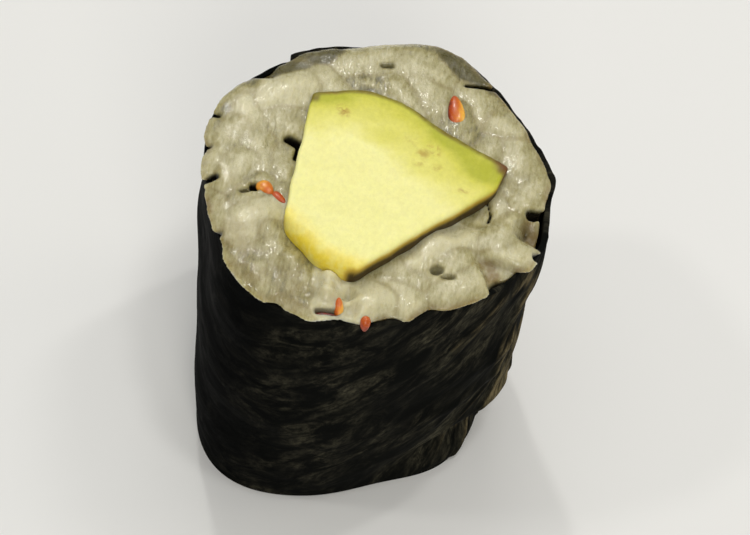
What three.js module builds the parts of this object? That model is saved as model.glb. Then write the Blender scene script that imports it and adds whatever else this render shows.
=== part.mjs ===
// One upright piece of an avocado maki roll, in millimetres, +Z up, standing on its cut base.
// Three solids: the seaweed wrap, the ring of sushi rice inside it, and the avocado wedge in the middle.
// The front of the piece, where the avocado's pit side comes nearest the wrap, faces -Y.
import * as THREE from "three";
import { mergeVertices } from "three/addons/utils/BufferGeometryUtils.js";

// ---------------------------------------------------------------- driving dimensions

const RIM_RADIUS = 19.1; // mean outer radius of the wrap at its top edge
const BASE_RADIUS = 17.6; // mean outer radius of the wrap where it stands
const RICE_HEIGHT = 36.5; // mean height of the rice's cut face
const WRAP_HEIGHT = 35.6; // mean height of the wrap's top edge
const WRAP_THICKNESS = 0.6; // one layer of moist seaweed
const GAP = 0.3; // clearance between touching pieces

// Neither outline is round: each lobe swells it "count" times round by "depth" of the radius.
const RIM_LOBES = [
  { count: 1, depth: 0.005, turn: -93 },
  { count: 2, depth: 0.019, turn: 64 },
  { count: 3, depth: 0.02, turn: -2.5 },
  { count: 4, depth: 0.039, turn: -17 },
  { count: 5, depth: 0.0065, turn: 15 },
  { count: 7, depth: 0.008, turn: 22 },
];
// The base spreads most at the front left, where the roll sags.
const BASE_LOBES = [
  { count: 1, depth: 0.073, turn: -137 },
  { count: 2, depth: 0.049, turn: 71 },
  { count: 3, depth: 0.029, turn: 8 },
  { count: 4, depth: 0.064, turn: -35 },
];
const BELLY = 0.73; // how far the wall swells halfway up

// Low on the right the wrap bulges over a groove. The rim stands out a little at the back right, and
// is pressed in at the right. Each swell has its depth (less than 0 presses in),
// where it is centred, how many degrees it reaches to either side, its height, how far it spreads up
// and down, and how much it climbs for each degree to the right.
const SWELLS = [
  { depth: 1.3, turn: 12, reach: 49, height: 11.3, spread: 7.7, climb: 0.08 },
  { depth: -1.84, turn: -38, reach: 58, height: 4.9, spread: 3.4, climb: 0.08 },
  { depth: 0.6, turn: 46, reach: 46, height: 38, spread: 9, climb: 0 },
  { depth: 0.45, turn: 72, reach: 18, height: 38, spread: 9, climb: 0 },
  { depth: 0.45, turn: 14, reach: 13, height: 38, spread: 7, climb: 0 },
  { depth: -0.5, turn: -1, reach: 13, height: 37, spread: 7, climb: 0 },
];

// The sheet's free end overlaps its start: the lap thickens slowly and ends in a step.
const LAP_END = 128; // degrees, where the free end lies
const LAP_WIDTH = 34; // degrees that the lap covers
const LAP_RAMP = 0.6; // share of its width over which it thickens
const LAP_STEP_WIDTH = 0.8; // degrees over which the free end drops

// Shallow waves in the wrap, each as turns round the roll, turns up it, depth and phase.
const WRINKLES = [
  { round: 5, up: 1.2, depth: 0.12, phase: 0.4 },
  { round: 9, up: -2.1, depth: 0.08, phase: 2.1 },
  { round: 3, up: 3.3, depth: 0.08, phase: 4.0 },
];
// The top edge rises and falls: "count" times round by "depth".
const EDGE_WAVES = [
  { count: 3, depth: 0.25, turn: -13 },
  { count: 7, depth: 0.15, turn: 0 },
];

// The rice swells over the wrap's top edge, most at the left.
const OVERHANG = { least: 0.1, most: 0.75, towards: 200, ripple: 0.15, ripples: 11 };
const GRAIN_LENGTH = 6.4;
const GRAIN_WIDTH = 3.0;
const GRAIN_RELIEF = 1.1; // height from the hollows between grains to their crowns
const GRAIN_LEVEL = 0.6; // share of the relief that lies under the mean height
const GRAIN_COUNT = 150;
const GRAIN_INNER_SHARE = 0.18; // grains lie from this share of the rim's area outwards
const GRAIN_OUTER_SHARE = 1.02;
const LIP_SHOULDER = 0.22; // how far the rice's rim lies under its face

// The avocado wedge's outline at the top, corner by corner, with how far each is rounded.
const WEDGE_CORNERS = [
  { x: -8.6, y: 9.7, round: 0.8 }, // skin side, left end
  { x: -3.0, y: 11.6, round: 2.2 }, // skin side, crown
  { x: 2.6, y: 10.2, round: 2.0 }, // skin side, where it turns down
  { x: 6.0, y: 7.5, round: 1.6 }, // skin side, where it straightens
  { x: 14.1, y: 3.6, round: 0.7 }, // skin side, right tip
  { x: 12.8, y: -0.5, round: 1.2 }, // cut side, right end
  { x: 7.0, y: -6.7, round: 4.0 }, // cut side, where it's hollow
  { x: -0.6, y: -15.1, round: 1.0 }, // pit side, front tip
  { x: -4.9, y: -13.9, round: 1.8 }, // pit side, its swelling
  { x: -9.1, y: -9.6, round: 1.8 }, // pit side, left corner
];
// Its cut face stands over the rice and slopes up from the back to the front.
const WEDGE_FACE = { frontY: -15.0, frontProud: 2.5, backY: 11.6, backProud: 0.6 };
const WEDGE_EDGE = 0.9; // rounding of its top edge
const WEDGE_EDGE_TURNS = [0, 30, 60, 90]; // degrees round that edge
const WEDGE_SIDE_DROP = 0.5; // its side ends this far under the rice's face
const WEDGE_FACE_RING = 4; // last ring of the cut face, this far in from its edge
const WEDGE_BASE_SCALE = 0.86; // the wedge narrows with the roll
const BORE_DEPTH = 1; // the ring's bore starts this far under its face

// Mesh steps
const ROUND_STEPS = 90;
const WALL_SHARES = [0, 0.07, 0.14, 0.21, 0.28, 0.36, 0.48, 0.64, 0.82, 1]; // closer where the groove lies
const RICE_TOP_RINGS = 9;
const RICE_BORE_ROWS = 4;
const RICE_BASE_RINGS = 2;
const WEDGE_STEPS = 48;
const WEDGE_ROWS = 4;

// ---------------------------------------------------------------- helpers

const rad = THREE.MathUtils.degToRad;
const lerp = THREE.MathUtils.lerp;
const clamp01 = (v) => THREE.MathUtils.clamp(v, 0, 1);
const smooth = (v) => THREE.MathUtils.smoothstep(v, 0, 1);

// Shortest signed turn from one angle to another, in degrees.
const turnFrom = (angle, start) => ((((angle - start) % 360) + 540) % 360) - 180;

// A repeatable stream of numbers from 0 to 1.
function numberStream(seed) {
  let state = seed;
  return () => {
    state = (state * 16807) % 2147483647;
    return state / 2147483647;
  };
}

// A closed surface through rings of equal length. A looped skin joins its last ring to its first;
// otherwise a fan closes each end.
function skin(rings, looped) {
  const size = rings[0].length;
  const points = rings.flat();
  const faces = [];
  const bands = looped ? rings.length : rings.length - 1;
  for (let ring = 0; ring < bands; ring++) {
    const lower = ring * size;
    const upper = ((ring + 1) % rings.length) * size;
    for (let i = 0; i < size; i++) {
      const j = (i + 1) % size;
      faces.push(lower + i, lower + j, upper + j, lower + i, upper + j, upper + i);
    }
  }
  if (!looped) {
    const first = points.length;
    points.push(middleOf(rings[0]), middleOf(rings.at(-1)));
    const lastRing = (rings.length - 1) * size;
    for (let i = 0; i < size; i++) {
      const j = (i + 1) % size;
      faces.push(first, j, i, first + 1, lastRing + i, lastRing + j);
    }
  }
  const geometry = new THREE.BufferGeometry().setFromPoints(points);
  geometry.setIndex(faces);
  const merged = mergeVertices(geometry, 1e-4);
  merged.computeVertexNormals();
  return merged;
}

function middleOf(ring) {
  const sum = ring.reduce((total, p) => total.add(p), new THREE.Vector3());
  return sum.divideScalar(ring.length);
}

// Evenly spread shares from 0 to 1, both ends included.
const shares = (steps) => Array.from({ length: steps + 1 }, (_, i) => i / steps);

const polar = (angle, radius, z) =>
  new THREE.Vector3(radius * Math.cos(rad(angle)), radius * Math.sin(rad(angle)), z);

// ---------------------------------------------------------------- the roll's own shape

// Directions of the grid's columns, with two close columns at the lap's free end.
function columnAngles() {
  const even = shares(ROUND_STEPS - 1).map((s) => (s * 360 * (ROUND_STEPS - 1)) / ROUND_STEPS);
  const step = [LAP_END - LAP_STEP_WIDTH / 2, LAP_END + LAP_STEP_WIDTH / 2];
  const clear = even.filter((angle) => Math.abs(turnFrom(angle, LAP_END)) > LAP_STEP_WIDTH * 1.5);
  return [...clear, ...step].sort((a, b) => a - b);
}
const COLUMNS = columnAngles();

// How much a set of lobes swells the radius in a direction.
const lobeShare = (lobes, angle) =>
  lobes.reduce((total, lobe) => total + lobe.depth * Math.cos(lobe.count * rad(angle - lobe.turn)), 1);

// How far the bulge and the groove move the wall.
function swellDepth(angle, z) {
  return SWELLS.reduce((sum, swell) => {
    const away = turnFrom(angle, swell.turn);
    const level = (z - swell.height - swell.climb * away) / swell.spread;
    const side = smooth(clamp01(1 - Math.abs(away) / swell.reach));
    return sum + swell.depth * side * Math.exp(-level * level);
  }, 0);
}

function wrinkleDepth(angle, up) {
  return WRINKLES.reduce(
    (sum, w) => sum + w.depth * Math.sin(w.round * rad(angle) + 2 * Math.PI * w.up * up + w.phase),
    0,
  );
}

// Radius of the wrap's outer face, without its lap.
function wallRadius(angle, z) {
  const up = clamp01(z / RICE_HEIGHT);
  const base = BASE_RADIUS * lobeShare(BASE_LOBES, angle);
  const rim = RIM_RADIUS * lobeShare(RIM_LOBES, angle);
  const mean = lerp(base, rim, up) + BELLY * Math.sin(Math.PI * up);
  return mean + wrinkleDepth(angle, up) + swellDepth(angle, z);
}

// The extra layer of the overlap: a slow ramp up, then the step at the free end.
function lapDepth(angle) {
  const back = -turnFrom(angle, LAP_END + LAP_STEP_WIDTH / 2);
  if (back <= LAP_STEP_WIDTH / 2 || back > LAP_WIDTH) return 0;
  return WRAP_THICKNESS * smooth(clamp01((LAP_WIDTH - back) / (LAP_RAMP * LAP_WIDTH)));
}

// The wrap's top edge rises and falls a little round the roll.
const wrapTop = (angle) =>
  WRAP_HEIGHT +
  EDGE_WAVES.reduce((sum, wave) => sum + wave.depth * Math.sin(wave.count * rad(angle - wave.turn)), 0);

// ---------------------------------------------------------------- seaweed wrap

function wrapRing(share, inner) {
  return COLUMNS.map((angle) => {
    const z = share * wrapTop(angle);
    const outer = wallRadius(angle, z);
    return polar(angle, inner ? outer - WRAP_THICKNESS : outer + lapDepth(angle), z);
  });
}

function seaweedWrap() {
  const outside = WALL_SHARES.map((share) => wrapRing(share, false));
  const inside = WALL_SHARES.toReversed().map((share) => wrapRing(share, true));
  return skin([...outside, ...inside], true);
}

// ---------------------------------------------------------------- avocado wedge

// The wedge's outline as evenly spaced points, with each corner turned into a curve.
function wedgeOutline() {
  const shape = new THREE.Shape();
  const corners = WEDGE_CORNERS.map((c) => new THREE.Vector2(c.x, c.y));
  corners.forEach((corner, i) => {
    const before = corners.at(i - 1);
    const after = corners[(i + 1) % corners.length];
    const reach = WEDGE_CORNERS[i].round;
    const start = corner.clone().add(before.clone().sub(corner).setLength(reach));
    const end = corner.clone().add(after.clone().sub(corner).setLength(reach));
    if (i === 0) shape.moveTo(start.x, start.y);
    else shape.lineTo(start.x, start.y);
    shape.quadraticCurveTo(corner.x, corner.y, end.x, end.y);
  });
  shape.closePath();
  const points = shape.getSpacedPoints(WEDGE_STEPS).slice(0, WEDGE_STEPS);
  return THREE.ShapeUtils.isClockWise(points) ? points.reverse() : points;
}
const WEDGE_OUTLINE = wedgeOutline();

const wedgeScale = (z) => lerp(WEDGE_BASE_SCALE, 1, clamp01(z / RICE_HEIGHT));

// Height of the wedge's cut face, which slopes up towards the front.
function wedgeTop(y) {
  const { frontY, frontProud, backY, backProud } = WEDGE_FACE;
  return RICE_HEIGHT + lerp(frontProud, backProud, clamp01((y - frontY) / (backY - frontY)));
}

// One ring of the wedge, drawn in by "inset" and lowered by "drop" from its cut face.
function wedgeTopRing(inset, drop) {
  const middle = WEDGE_OUTLINE.reduce((sum, p) => sum.add(p), new THREE.Vector2());
  middle.divideScalar(WEDGE_OUTLINE.length);
  return WEDGE_OUTLINE.map((p) => {
    const inward = middle.clone().sub(p).setLength(inset);
    return new THREE.Vector3(p.x + inward.x, p.y + inward.y, wedgeTop(p.y) - drop);
  });
}

function avocadoWedge() {
  const sideTop = RICE_HEIGHT - WEDGE_SIDE_DROP;
  const side = shares(WEDGE_ROWS).map((share) => {
    const z = share * sideTop;
    return WEDGE_OUTLINE.map((p) => new THREE.Vector3(p.x * wedgeScale(z), p.y * wedgeScale(z), z));
  });
  const rounded = WEDGE_EDGE_TURNS.map((turn) =>
    wedgeTopRing(WEDGE_EDGE * (1 - Math.cos(rad(turn))), WEDGE_EDGE * (1 - Math.sin(rad(turn)))),
  );
  return skin([...side, ...rounded, wedgeTopRing(WEDGE_EDGE + WEDGE_FACE_RING, 0)], false);
}

// ---------------------------------------------------------------- rice ring

// Where a ray from the middle at this angle leaves the wedge's outline.
function wedgeRadius(angle) {
  const direction = new THREE.Vector2(Math.cos(rad(angle)), Math.sin(rad(angle)));
  let reach = 0;
  WEDGE_OUTLINE.forEach((a, i) => {
    const b = WEDGE_OUTLINE[(i + 1) % WEDGE_OUTLINE.length];
    const edge = b.clone().sub(a);
    const slope = direction.cross(edge);
    if (Math.abs(slope) < 1e-9) return;
    const along = a.cross(edge) / slope;
    const share = a.cross(direction) / slope;
    if (along > 0 && share >= -1e-6 && share <= 1 + 1e-6) reach = Math.max(reach, along);
  });
  return reach;
}
const BORE_GAP = GAP * 1.5; // the ring's corners cut across the wedge's curves
const BORE_RADII = COLUMNS.map((angle) => wedgeRadius(angle) + BORE_GAP);

// Grains that lie in the cut face, as crowns that swell its height.
function scatterGrains() {
  const next = numberStream(4721);
  return Array.from({ length: GRAIN_COUNT }, () => ({
    at: polar(next() * 360, RIM_RADIUS * Math.sqrt(lerp(GRAIN_INNER_SHARE, GRAIN_OUTER_SHARE, next())), 0),
    turn: next() * Math.PI,
    crown: lerp(0.45, 1, next()),
  }));
}
const GRAINS = scatterGrains();

function grainHeight(x, y) {
  return GRAINS.reduce((highest, grain) => {
    const dx = x - grain.at.x;
    const dy = y - grain.at.y;
    const along = (dx * Math.cos(grain.turn) + dy * Math.sin(grain.turn)) / (GRAIN_LENGTH / 2);
    const across = (dy * Math.cos(grain.turn) - dx * Math.sin(grain.turn)) / (GRAIN_WIDTH / 2);
    const left = 1 - along * along - across * across;
    return left > 0 ? Math.max(highest, grain.crown * Math.sqrt(left)) : highest;
  }, 0);
}

// How far the rice swells out over the wrap's edge in this direction.
function overhang(angle) {
  const facing = 0.5 + 0.5 * Math.cos(rad(angle - OVERHANG.towards));
  const ripple = OVERHANG.ripple * Math.sin(rad(OVERHANG.ripples * angle));
  return lerp(OVERHANG.least, OVERHANG.most, facing) + ripple;
}

function riceRing() {
  const rows = [];
  const innerWall = (angle, z) => wallRadius(angle, z) - WRAP_THICKNESS - GAP;
  const lipBottom = (angle) => wrapTop(angle) - GAP;
  for (const share of WALL_SHARES) {
    rows.push(
      COLUMNS.map((angle) => polar(angle, innerWall(angle, share * lipBottom(angle)), share * lipBottom(angle))),
    );
  }
  const lipRadius = (angle) => innerWall(angle, RICE_HEIGHT) + WRAP_THICKNESS + overhang(angle);
  rows.push(COLUMNS.map((angle) => polar(angle, innerWall(angle, WRAP_HEIGHT), wrapTop(angle) + GAP)));
  for (const share of shares(RICE_TOP_RINGS)) {
    rows.push(
      COLUMNS.map((angle, i) => {
        const radius = lerp(lipRadius(angle), BORE_RADII[i], share);
        const p = polar(angle, radius, 0);
        const shoulder = share === 0 ? LIP_SHOULDER : 0;
        const crown = GRAIN_RELIEF * (grainHeight(p.x, p.y) - GRAIN_LEVEL);
        return p.setZ(Math.max(RICE_HEIGHT + crown - shoulder, wrapTop(angle) + 2 * GAP));
      }),
    );
  }
  for (const share of shares(RICE_BORE_ROWS).slice(1)) {
    const z = (1 - share) * (RICE_HEIGHT - BORE_DEPTH);
    rows.push(COLUMNS.map((angle, i) => polar(angle, (BORE_RADII[i] - BORE_GAP) * wedgeScale(z) + BORE_GAP, z)));
  }
  for (const share of shares(RICE_BASE_RINGS).slice(1, -1)) {
    rows.push(
      COLUMNS.map((angle, i) => {
        const bore = (BORE_RADII[i] - BORE_GAP) * wedgeScale(0) + BORE_GAP;
        return polar(angle, lerp(bore, innerWall(angle, 0), share), 0);
      }),
    );
  }
  return skin(rows, true);
}

// ---------------------------------------------------------------- the assembled piece

const finish = (color, roughness) => new THREE.MeshStandardMaterial({ color, roughness, metalness: 0 });

function piece(name, geometry, material) {
  const mesh = new THREE.Mesh(geometry, material);
  mesh.name = name;
  return mesh;
}

const roll = new THREE.Group();
roll.add(piece("seaweed_wrap", seaweedWrap(), finish(0x191a15, 0.55)));
roll.add(piece("rice_ring", riceRing(), finish(0xd2ccb4, 0.45)));
roll.add(piece("avocado_wedge", avocadoWedge(), finish(0xdedb7c, 0.5)));

// The origin is the middle of the base, under the middle of the whole piece's box.
const box = new THREE.Box3().setFromObject(roll);
const middle = box.getCenter(new THREE.Vector3());
roll.position.set(-middle.x, -middle.y, -box.min.z);

export default roll;
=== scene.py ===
"""One upright piece of avocado maki roll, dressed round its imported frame.

The frame gives the place and the size. The shapes are drawn in millimetres in the roll's own
plan, where +X is right, -Y is the front and +Z is up, and each mesh is moved to the frame and
turned into metres when it is made.
"""

from __future__ import annotations

import itertools
import logging
import math
import sys
from dataclasses import dataclass, field
from enum import Enum, IntEnum

import bpy
import numpy as np
import openvdb
from mathutils import Matrix, Vector

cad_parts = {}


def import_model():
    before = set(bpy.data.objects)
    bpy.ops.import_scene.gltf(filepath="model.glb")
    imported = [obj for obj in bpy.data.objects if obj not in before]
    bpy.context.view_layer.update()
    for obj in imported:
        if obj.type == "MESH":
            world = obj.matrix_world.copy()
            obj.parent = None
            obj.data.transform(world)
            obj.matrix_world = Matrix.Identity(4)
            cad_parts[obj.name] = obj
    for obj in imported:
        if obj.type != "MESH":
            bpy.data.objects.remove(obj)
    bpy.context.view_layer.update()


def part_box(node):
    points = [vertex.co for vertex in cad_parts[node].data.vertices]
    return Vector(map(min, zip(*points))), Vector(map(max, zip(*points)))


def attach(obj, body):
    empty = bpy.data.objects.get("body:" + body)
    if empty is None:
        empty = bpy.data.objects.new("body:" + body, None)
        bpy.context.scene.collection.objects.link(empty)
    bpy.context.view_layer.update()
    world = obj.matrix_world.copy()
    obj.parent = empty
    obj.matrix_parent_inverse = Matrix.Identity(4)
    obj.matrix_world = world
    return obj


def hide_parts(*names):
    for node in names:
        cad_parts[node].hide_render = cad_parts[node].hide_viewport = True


LOG = logging.getLogger("maki")
Array = np.ndarray
Size = float | tuple[float, float, float] | np.ndarray
Span = tuple[float, float]

MM = 0.001

# Large primes and ranges that turn a lattice corner's numbers into a random value.
AXIS_PRIMES = (73856093, 19349663, 83492791)
SEED_PRIME = 2654435761
MIX_PRIME = 1274126177
MIX_RANGE = 0x7FFFFFFF
LEVELS = 65536


class Pattern(IntEnum):
    """Which fixed random values a noise reads: one set for each use."""

    WEDGE_SIDE = 11
    SHEET_BANDS = 31
    SHEET_FOLDS = 57
    KNIFE_RIPPLE = 71
    FLESH_LUMPS = 75
    SHEET_EDGE = 91
    RICE_WAVES = 131
    RICE_LUMPS = 171
    RICE_STRANDS = 177
    RICE_CORE = 211


# ---------------------------------------------------------------- shaping helpers


def blend(low: Array | float, high: Array | float, share: Array | float) -> Array | float:
    """Straight mix: low at share 0, high at share 1."""
    return low + (high - low) * share


def ease(value: Array | float, start: float = 0.0, end: float = 1.0) -> Array | float:
    """Smooth step: 0 at start, 1 at end, 3t^2 - 2t^3 between them, and either may be the larger."""
    t = np.clip((value - start) / (end - start), 0.0, 1.0)
    return t * t * (3.0 - 2.0 * t)


def turn_from(angle: Array | float, start: float) -> Array | float:
    """Shortest signed turn from start to angle, in degrees from -180 to 180."""
    return (angle - start + 180.0) % 360.0 - 180.0


def arch(angle: Array, middle: float, reach: float, full: float = 1.0) -> Array:
    """1 at a direction and 0 from a reach in degrees away, with a wider top where full is small."""
    return ease(1.0 - np.abs(turn_from(angle, middle)) / reach, 0.0, full)


def soft_min(a: Array, b: Array, reach: float) -> Array:
    """The smaller of two values, with the corner between them filled over the given reach."""
    h = np.maximum(reach - np.abs(a - b), 0.0) / reach
    return np.minimum(a, b) - h * h * reach * 0.25


def soft_max(a: Array, b: Array, reach: float) -> Array:
    """The larger of two values, with the corner between them rounded over the given reach."""
    return -soft_min(-a, -b, reach)


def lattice_noise(points: Array, size: Size, seed: int) -> Array:
    """Smooth noise from about -1 to 1.

    Every corner of a lattice of the given cell size holds a fixed random value. A point takes
    the mix of the eight corners round it, weighted by the quintic 6t^5 - 15t^4 + 10t^3 of its
    share along each side of the cell.

    Args:
        points: array of (..., 3) places.
        size: cell size, one number or one for each axis.
        seed: which set of random values to use.

    Returns:
        One value for each point.
    """
    cells = points / size
    corner = np.floor(cells).astype(np.int64)
    share = cells - corner
    share = share * share * share * (share * (share * 6.0 - 15.0) + 10.0)
    total = np.zeros(points.shape[:-1])
    for step in itertools.product((0, 1), repeat=3):
        spread = (corner + np.array(step)) * np.array(AXIS_PRIMES)
        mixed = spread[..., 0] ^ spread[..., 1] ^ spread[..., 2] ^ seed * SEED_PRIME
        mixed = (mixed ^ (mixed >> 13)) * MIX_PRIME & MIX_RANGE
        value = (mixed ^ (mixed >> 16)) % LEVELS / (0.5 * (LEVELS - 1)) - 1.0
        weight = np.prod(np.where(np.array(step), share, 1.0 - share), axis=-1)
        total += weight * value
    return total


def layered_noise(points: Array, size: Size, seed: int, layers: int) -> Array:
    """Lattice noise with finer layers added, each half as large and half as strong.

    Args:
        points: array of (..., 3) places.
        size: cell size of the largest layer, one number or one for each axis.
        seed: which set of random values the first layer uses.
        layers: number of layers.

    Returns:
        One value for each point.
    """
    total = np.zeros(points.shape[:-1])
    for layer in range(layers):
        total += lattice_noise(points, np.asarray(size) / 2.0**layer, seed + layer) / 2.0**layer
    return total


def on_circle(angle: Array, radius: Array, z: Array) -> Array:
    """Points at an angle in degrees, a radius and a height."""
    turn = np.radians(angle)
    return np.stack(np.broadcast_arrays(radius * np.cos(turn), radius * np.sin(turn), z), axis=-1)


def polar(plan: Array) -> tuple[Array, Array]:
    """Direction in degrees and distance from the roll's middle of points in the plan."""
    x, y = plan[..., 0], plan[..., 1]
    return np.degrees(np.arctan2(y, x)), np.hypot(x, y)


def turned(plan: Array, x: float, y: float, turn: float) -> tuple[Array, Array]:
    """Places along and across a direction from a middle.

    Args:
        plan: array of (..., 2) points.
        x: the middle's place across the plan.
        y: the middle's place up the plan.
        turn: the direction in degrees.

    Returns:
        How far each point lies along the direction, and to its left.
    """
    angle = math.radians(turn)
    right, back = plan[..., 0] - x, plan[..., 1] - y
    along = right * math.cos(angle) + back * math.sin(angle)
    return along, back * math.cos(angle) - right * math.sin(angle)


def level_points(plan: Array) -> Array:
    """Points in the plan with a height of 0."""
    return np.concatenate([plan, np.zeros((*plan.shape[:-1], 1))], axis=-1)


def runs_distance(plan: Array, starts: Array, ends: Array) -> Array:
    """Distance from points in the plan to the nearest of some straight runs.

    Args:
        plan: array of (..., 2) points.
        starts: array of (count, 2), where each run starts.
        ends: array of (count, 2), where each run ends.

    Returns:
        One distance for each point.
    """
    nearest = np.full(plan.shape[:-1], np.inf)
    for a, b in zip(starts, ends):
        run = b - a
        t = np.clip(((plan - a) @ run) / (run @ run), 0.0, 1.0)
        nearest = np.minimum(nearest, np.linalg.norm(plan - a - t[..., None] * run, axis=-1))
    return nearest


# ---------------------------------------------------------------- the roll's shared shape


@dataclass(frozen=True)
class Lobe:
    """A swelling that repeats round the outline."""

    count: int
    depth: float
    turn: float


@dataclass(frozen=True)
class Corner:
    """A corner of the avocado wedge's outline, and how far from it the curve starts."""

    x: float
    y: float
    curve: float


@dataclass(frozen=True)
class Swell:
    """A bulge in the wall, or a groove where its depth is less than 0.

    It is centred at a turn in degrees and a height, and climbs for each degree to the right.
    """

    depth: float
    turn: float
    reach: float
    height: float
    spread: float
    climb: float


@dataclass
class RollShape:
    """The outlines that the wrap, the rice and the avocado share, in millimetres.

    They are the rules that the frame's own solids follow, so the finished pieces lie on them. The
    wrinkles are waves that wind round the wall: how many go round, how often each winds on from
    base to rim, its depth and its phase.
    """

    rim_radius: float = 19.1
    base_radius: float = 17.6
    rice_height: float = 36.5
    wrap_height: float = 35.6
    wrap_thickness: float = 0.6
    gap: float = 0.3
    belly: float = 0.73
    rim_lobes: tuple[Lobe, ...] = (
        Lobe(1, 0.005, -93),
        Lobe(2, 0.019, 64),
        Lobe(3, 0.020, -2.5),
        Lobe(4, 0.039, -17),
        Lobe(5, 0.0065, 15),
        Lobe(7, 0.008, 22),
    )
    base_lobes: tuple[Lobe, ...] = (
        Lobe(1, 0.073, -137),
        Lobe(2, 0.049, 71),
        Lobe(3, 0.029, 8),
        Lobe(4, 0.064, -35),
    )
    swells: tuple[Swell, ...] = (
        Swell(1.3, 12, 49, 11.3, 7.7, 0.08),
        Swell(-1.84, -38, 58, 4.9, 3.4, 0.08),
        Swell(0.6, 46, 46, 38, 9, 0),
        Swell(0.45, 72, 18, 38, 9, 0),
        Swell(0.45, 14, 13, 38, 7, 0),
        Swell(-0.5, -1, 13, 37, 7, 0),
    )
    lap_end: float = 128.0
    lap_width: float = 34.0
    lap_ramp: float = 0.6
    lap_step: float = 0.8
    wrinkles: tuple[tuple[int, float, float, float], ...] = (
        (5, 1.2, 0.12, 0.4),
        (9, -2.1, 0.08, 2.1),
        (3, 3.3, 0.08, 4.0),
    )
    edge_waves: tuple[Lobe, ...] = (Lobe(3, 0.25, -13), Lobe(7, 0.15, 0))
    wedge_corners: tuple[Corner, ...] = (
        Corner(-8.6, 9.7, 0.8),
        Corner(-3.0, 11.6, 2.2),
        Corner(2.6, 10.2, 2.0),
        Corner(6.0, 7.5, 1.6),
        Corner(14.1, 3.6, 0.7),
        Corner(12.8, -0.5, 1.2),
        Corner(7.0, -6.7, 4.0),
        Corner(-0.6, -15.1, 1.0),
        Corner(-4.9, -13.9, 1.8),
        Corner(-9.1, -9.6, 1.8),
    )
    wedge_front_y: float = -15.0
    wedge_front_proud: float = 2.5
    wedge_back_y: float = 11.6
    wedge_back_proud: float = 0.6
    wedge_base_scale: float = 0.86
    curve_steps: int = 24
    wedge_steps: int = 120
    shift: Array = field(default_factory=lambda: np.zeros(3))

    def settle(self) -> None:
        """Works out the shift from the roll's plan to the frame, from the wrap's own box."""
        low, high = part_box("seaweed_wrap")
        angle, z = np.meshgrid(np.arange(0.0, 360.0, 0.25), np.linspace(0.0, self.wrap_height, 60))
        wall = on_circle(angle, self.wall_radius(angle, z) + self.lap_depth(angle), z).reshape(-1, 3)
        middle = (wall.min(axis=0) + wall.max(axis=0)) / 2.0
        packed = (np.array(low) + np.array(high)) / 2.0 / MM
        self.shift = np.array([packed[0] - middle[0], packed[1] - middle[1], 0.0])

    @staticmethod
    def lobe_share(lobes: tuple[Lobe, ...], angle: Array) -> Array:
        """How much a set of lobes swells the radius: 1 plus the sum of their cosines."""
        waves = (lobe.depth * np.cos(np.radians(lobe.count * (angle - lobe.turn))) for lobe in lobes)
        return 1.0 + sum(waves)

    @staticmethod
    def swell_depth(swells: tuple[Swell, ...], angle: Array, z: Array) -> Array:
        """How far bulges and grooves move the wall: each fades sideways and up and down.

        Args:
            swells: the bulges and grooves.
            angle: direction of each point in degrees.
            z: height of each point.

        Returns:
            The distance outwards at each point.
        """
        total = np.zeros(np.broadcast(angle, z).shape)
        for swell in swells:
            away = turn_from(angle, swell.turn)
            level = (z - swell.height - swell.climb * away) / swell.spread
            total = total + swell.depth * ease(1.0 - np.abs(away) / swell.reach) * np.exp(-level * level)
        return total

    def wall_radius(self, angle: Array, z: Array) -> Array:
        """Radius of the wrap's outer face: base to rim with a belly, waves, bulges and grooves.

        Args:
            angle: direction of each point in degrees.
            z: height of each point.

        Returns:
            The radius at each point.
        """
        up = np.clip(z / self.rice_height, 0.0, 1.0)
        base = self.base_radius * self.lobe_share(self.base_lobes, angle)
        rim = self.rim_radius * self.lobe_share(self.rim_lobes, angle)
        waves = sum(
            depth * np.sin(count * np.radians(angle) + 2.0 * np.pi * winds * up + phase)
            for count, winds, depth, phase in self.wrinkles
        )
        swelled = self.swell_depth(self.swells, angle, z)
        return blend(base, rim, up) + self.belly * np.sin(np.pi * up) + waves + swelled

    def lap_depth(self, angle: Array) -> Array:
        """The overlap's extra layer: a slow ramp up, then the step at the sheet's free end.

        Args:
            angle: direction of each point in degrees.

        Returns:
            The extra thickness at each point.
        """
        back = -turn_from(angle, self.lap_end + self.lap_step / 2.0)
        covered = (back > self.lap_step / 2.0) & (back <= self.lap_width)
        ramp = ease((self.lap_width - back) / (self.lap_ramp * self.lap_width))
        return np.where(covered, self.wrap_thickness * ramp, 0.0)

    def wrap_top(self, angle: Array) -> Array:
        """Height of the wrap's top edge, which rises and falls a little round the roll."""
        waves = (w.depth * np.sin(np.radians(w.count * (angle - w.turn))) for w in self.edge_waves)
        return self.wrap_height + sum(waves)

    def rice_wall(self, angle: Array, z: Array) -> Array:
        """Radius of the rice inside the wrap."""
        return self.wall_radius(angle, z) - self.wrap_thickness - self.gap

    def wedge_scale(self, z: Array) -> Array:
        """How wide the wedge is at a height, against its top."""
        return blend(self.wedge_base_scale, 1.0, np.clip(z / self.rice_height, 0.0, 1.0))

    def wedge_top(self, y: Array) -> Array:
        """Height of the wedge's cut face, which slopes up towards the front.

        Args:
            y: places up the plan.

        Returns:
            The height at each.
        """
        run = self.wedge_back_y - self.wedge_front_y
        share = np.clip((y - self.wedge_front_y) / run, 0.0, 1.0)
        return self.rice_height + blend(self.wedge_front_proud, self.wedge_back_proud, share)

    def corner_places(self) -> Array:
        """The wedge's corners at the top, one row each."""
        return np.array([(corner.x, corner.y) for corner in self.wedge_corners])

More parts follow.
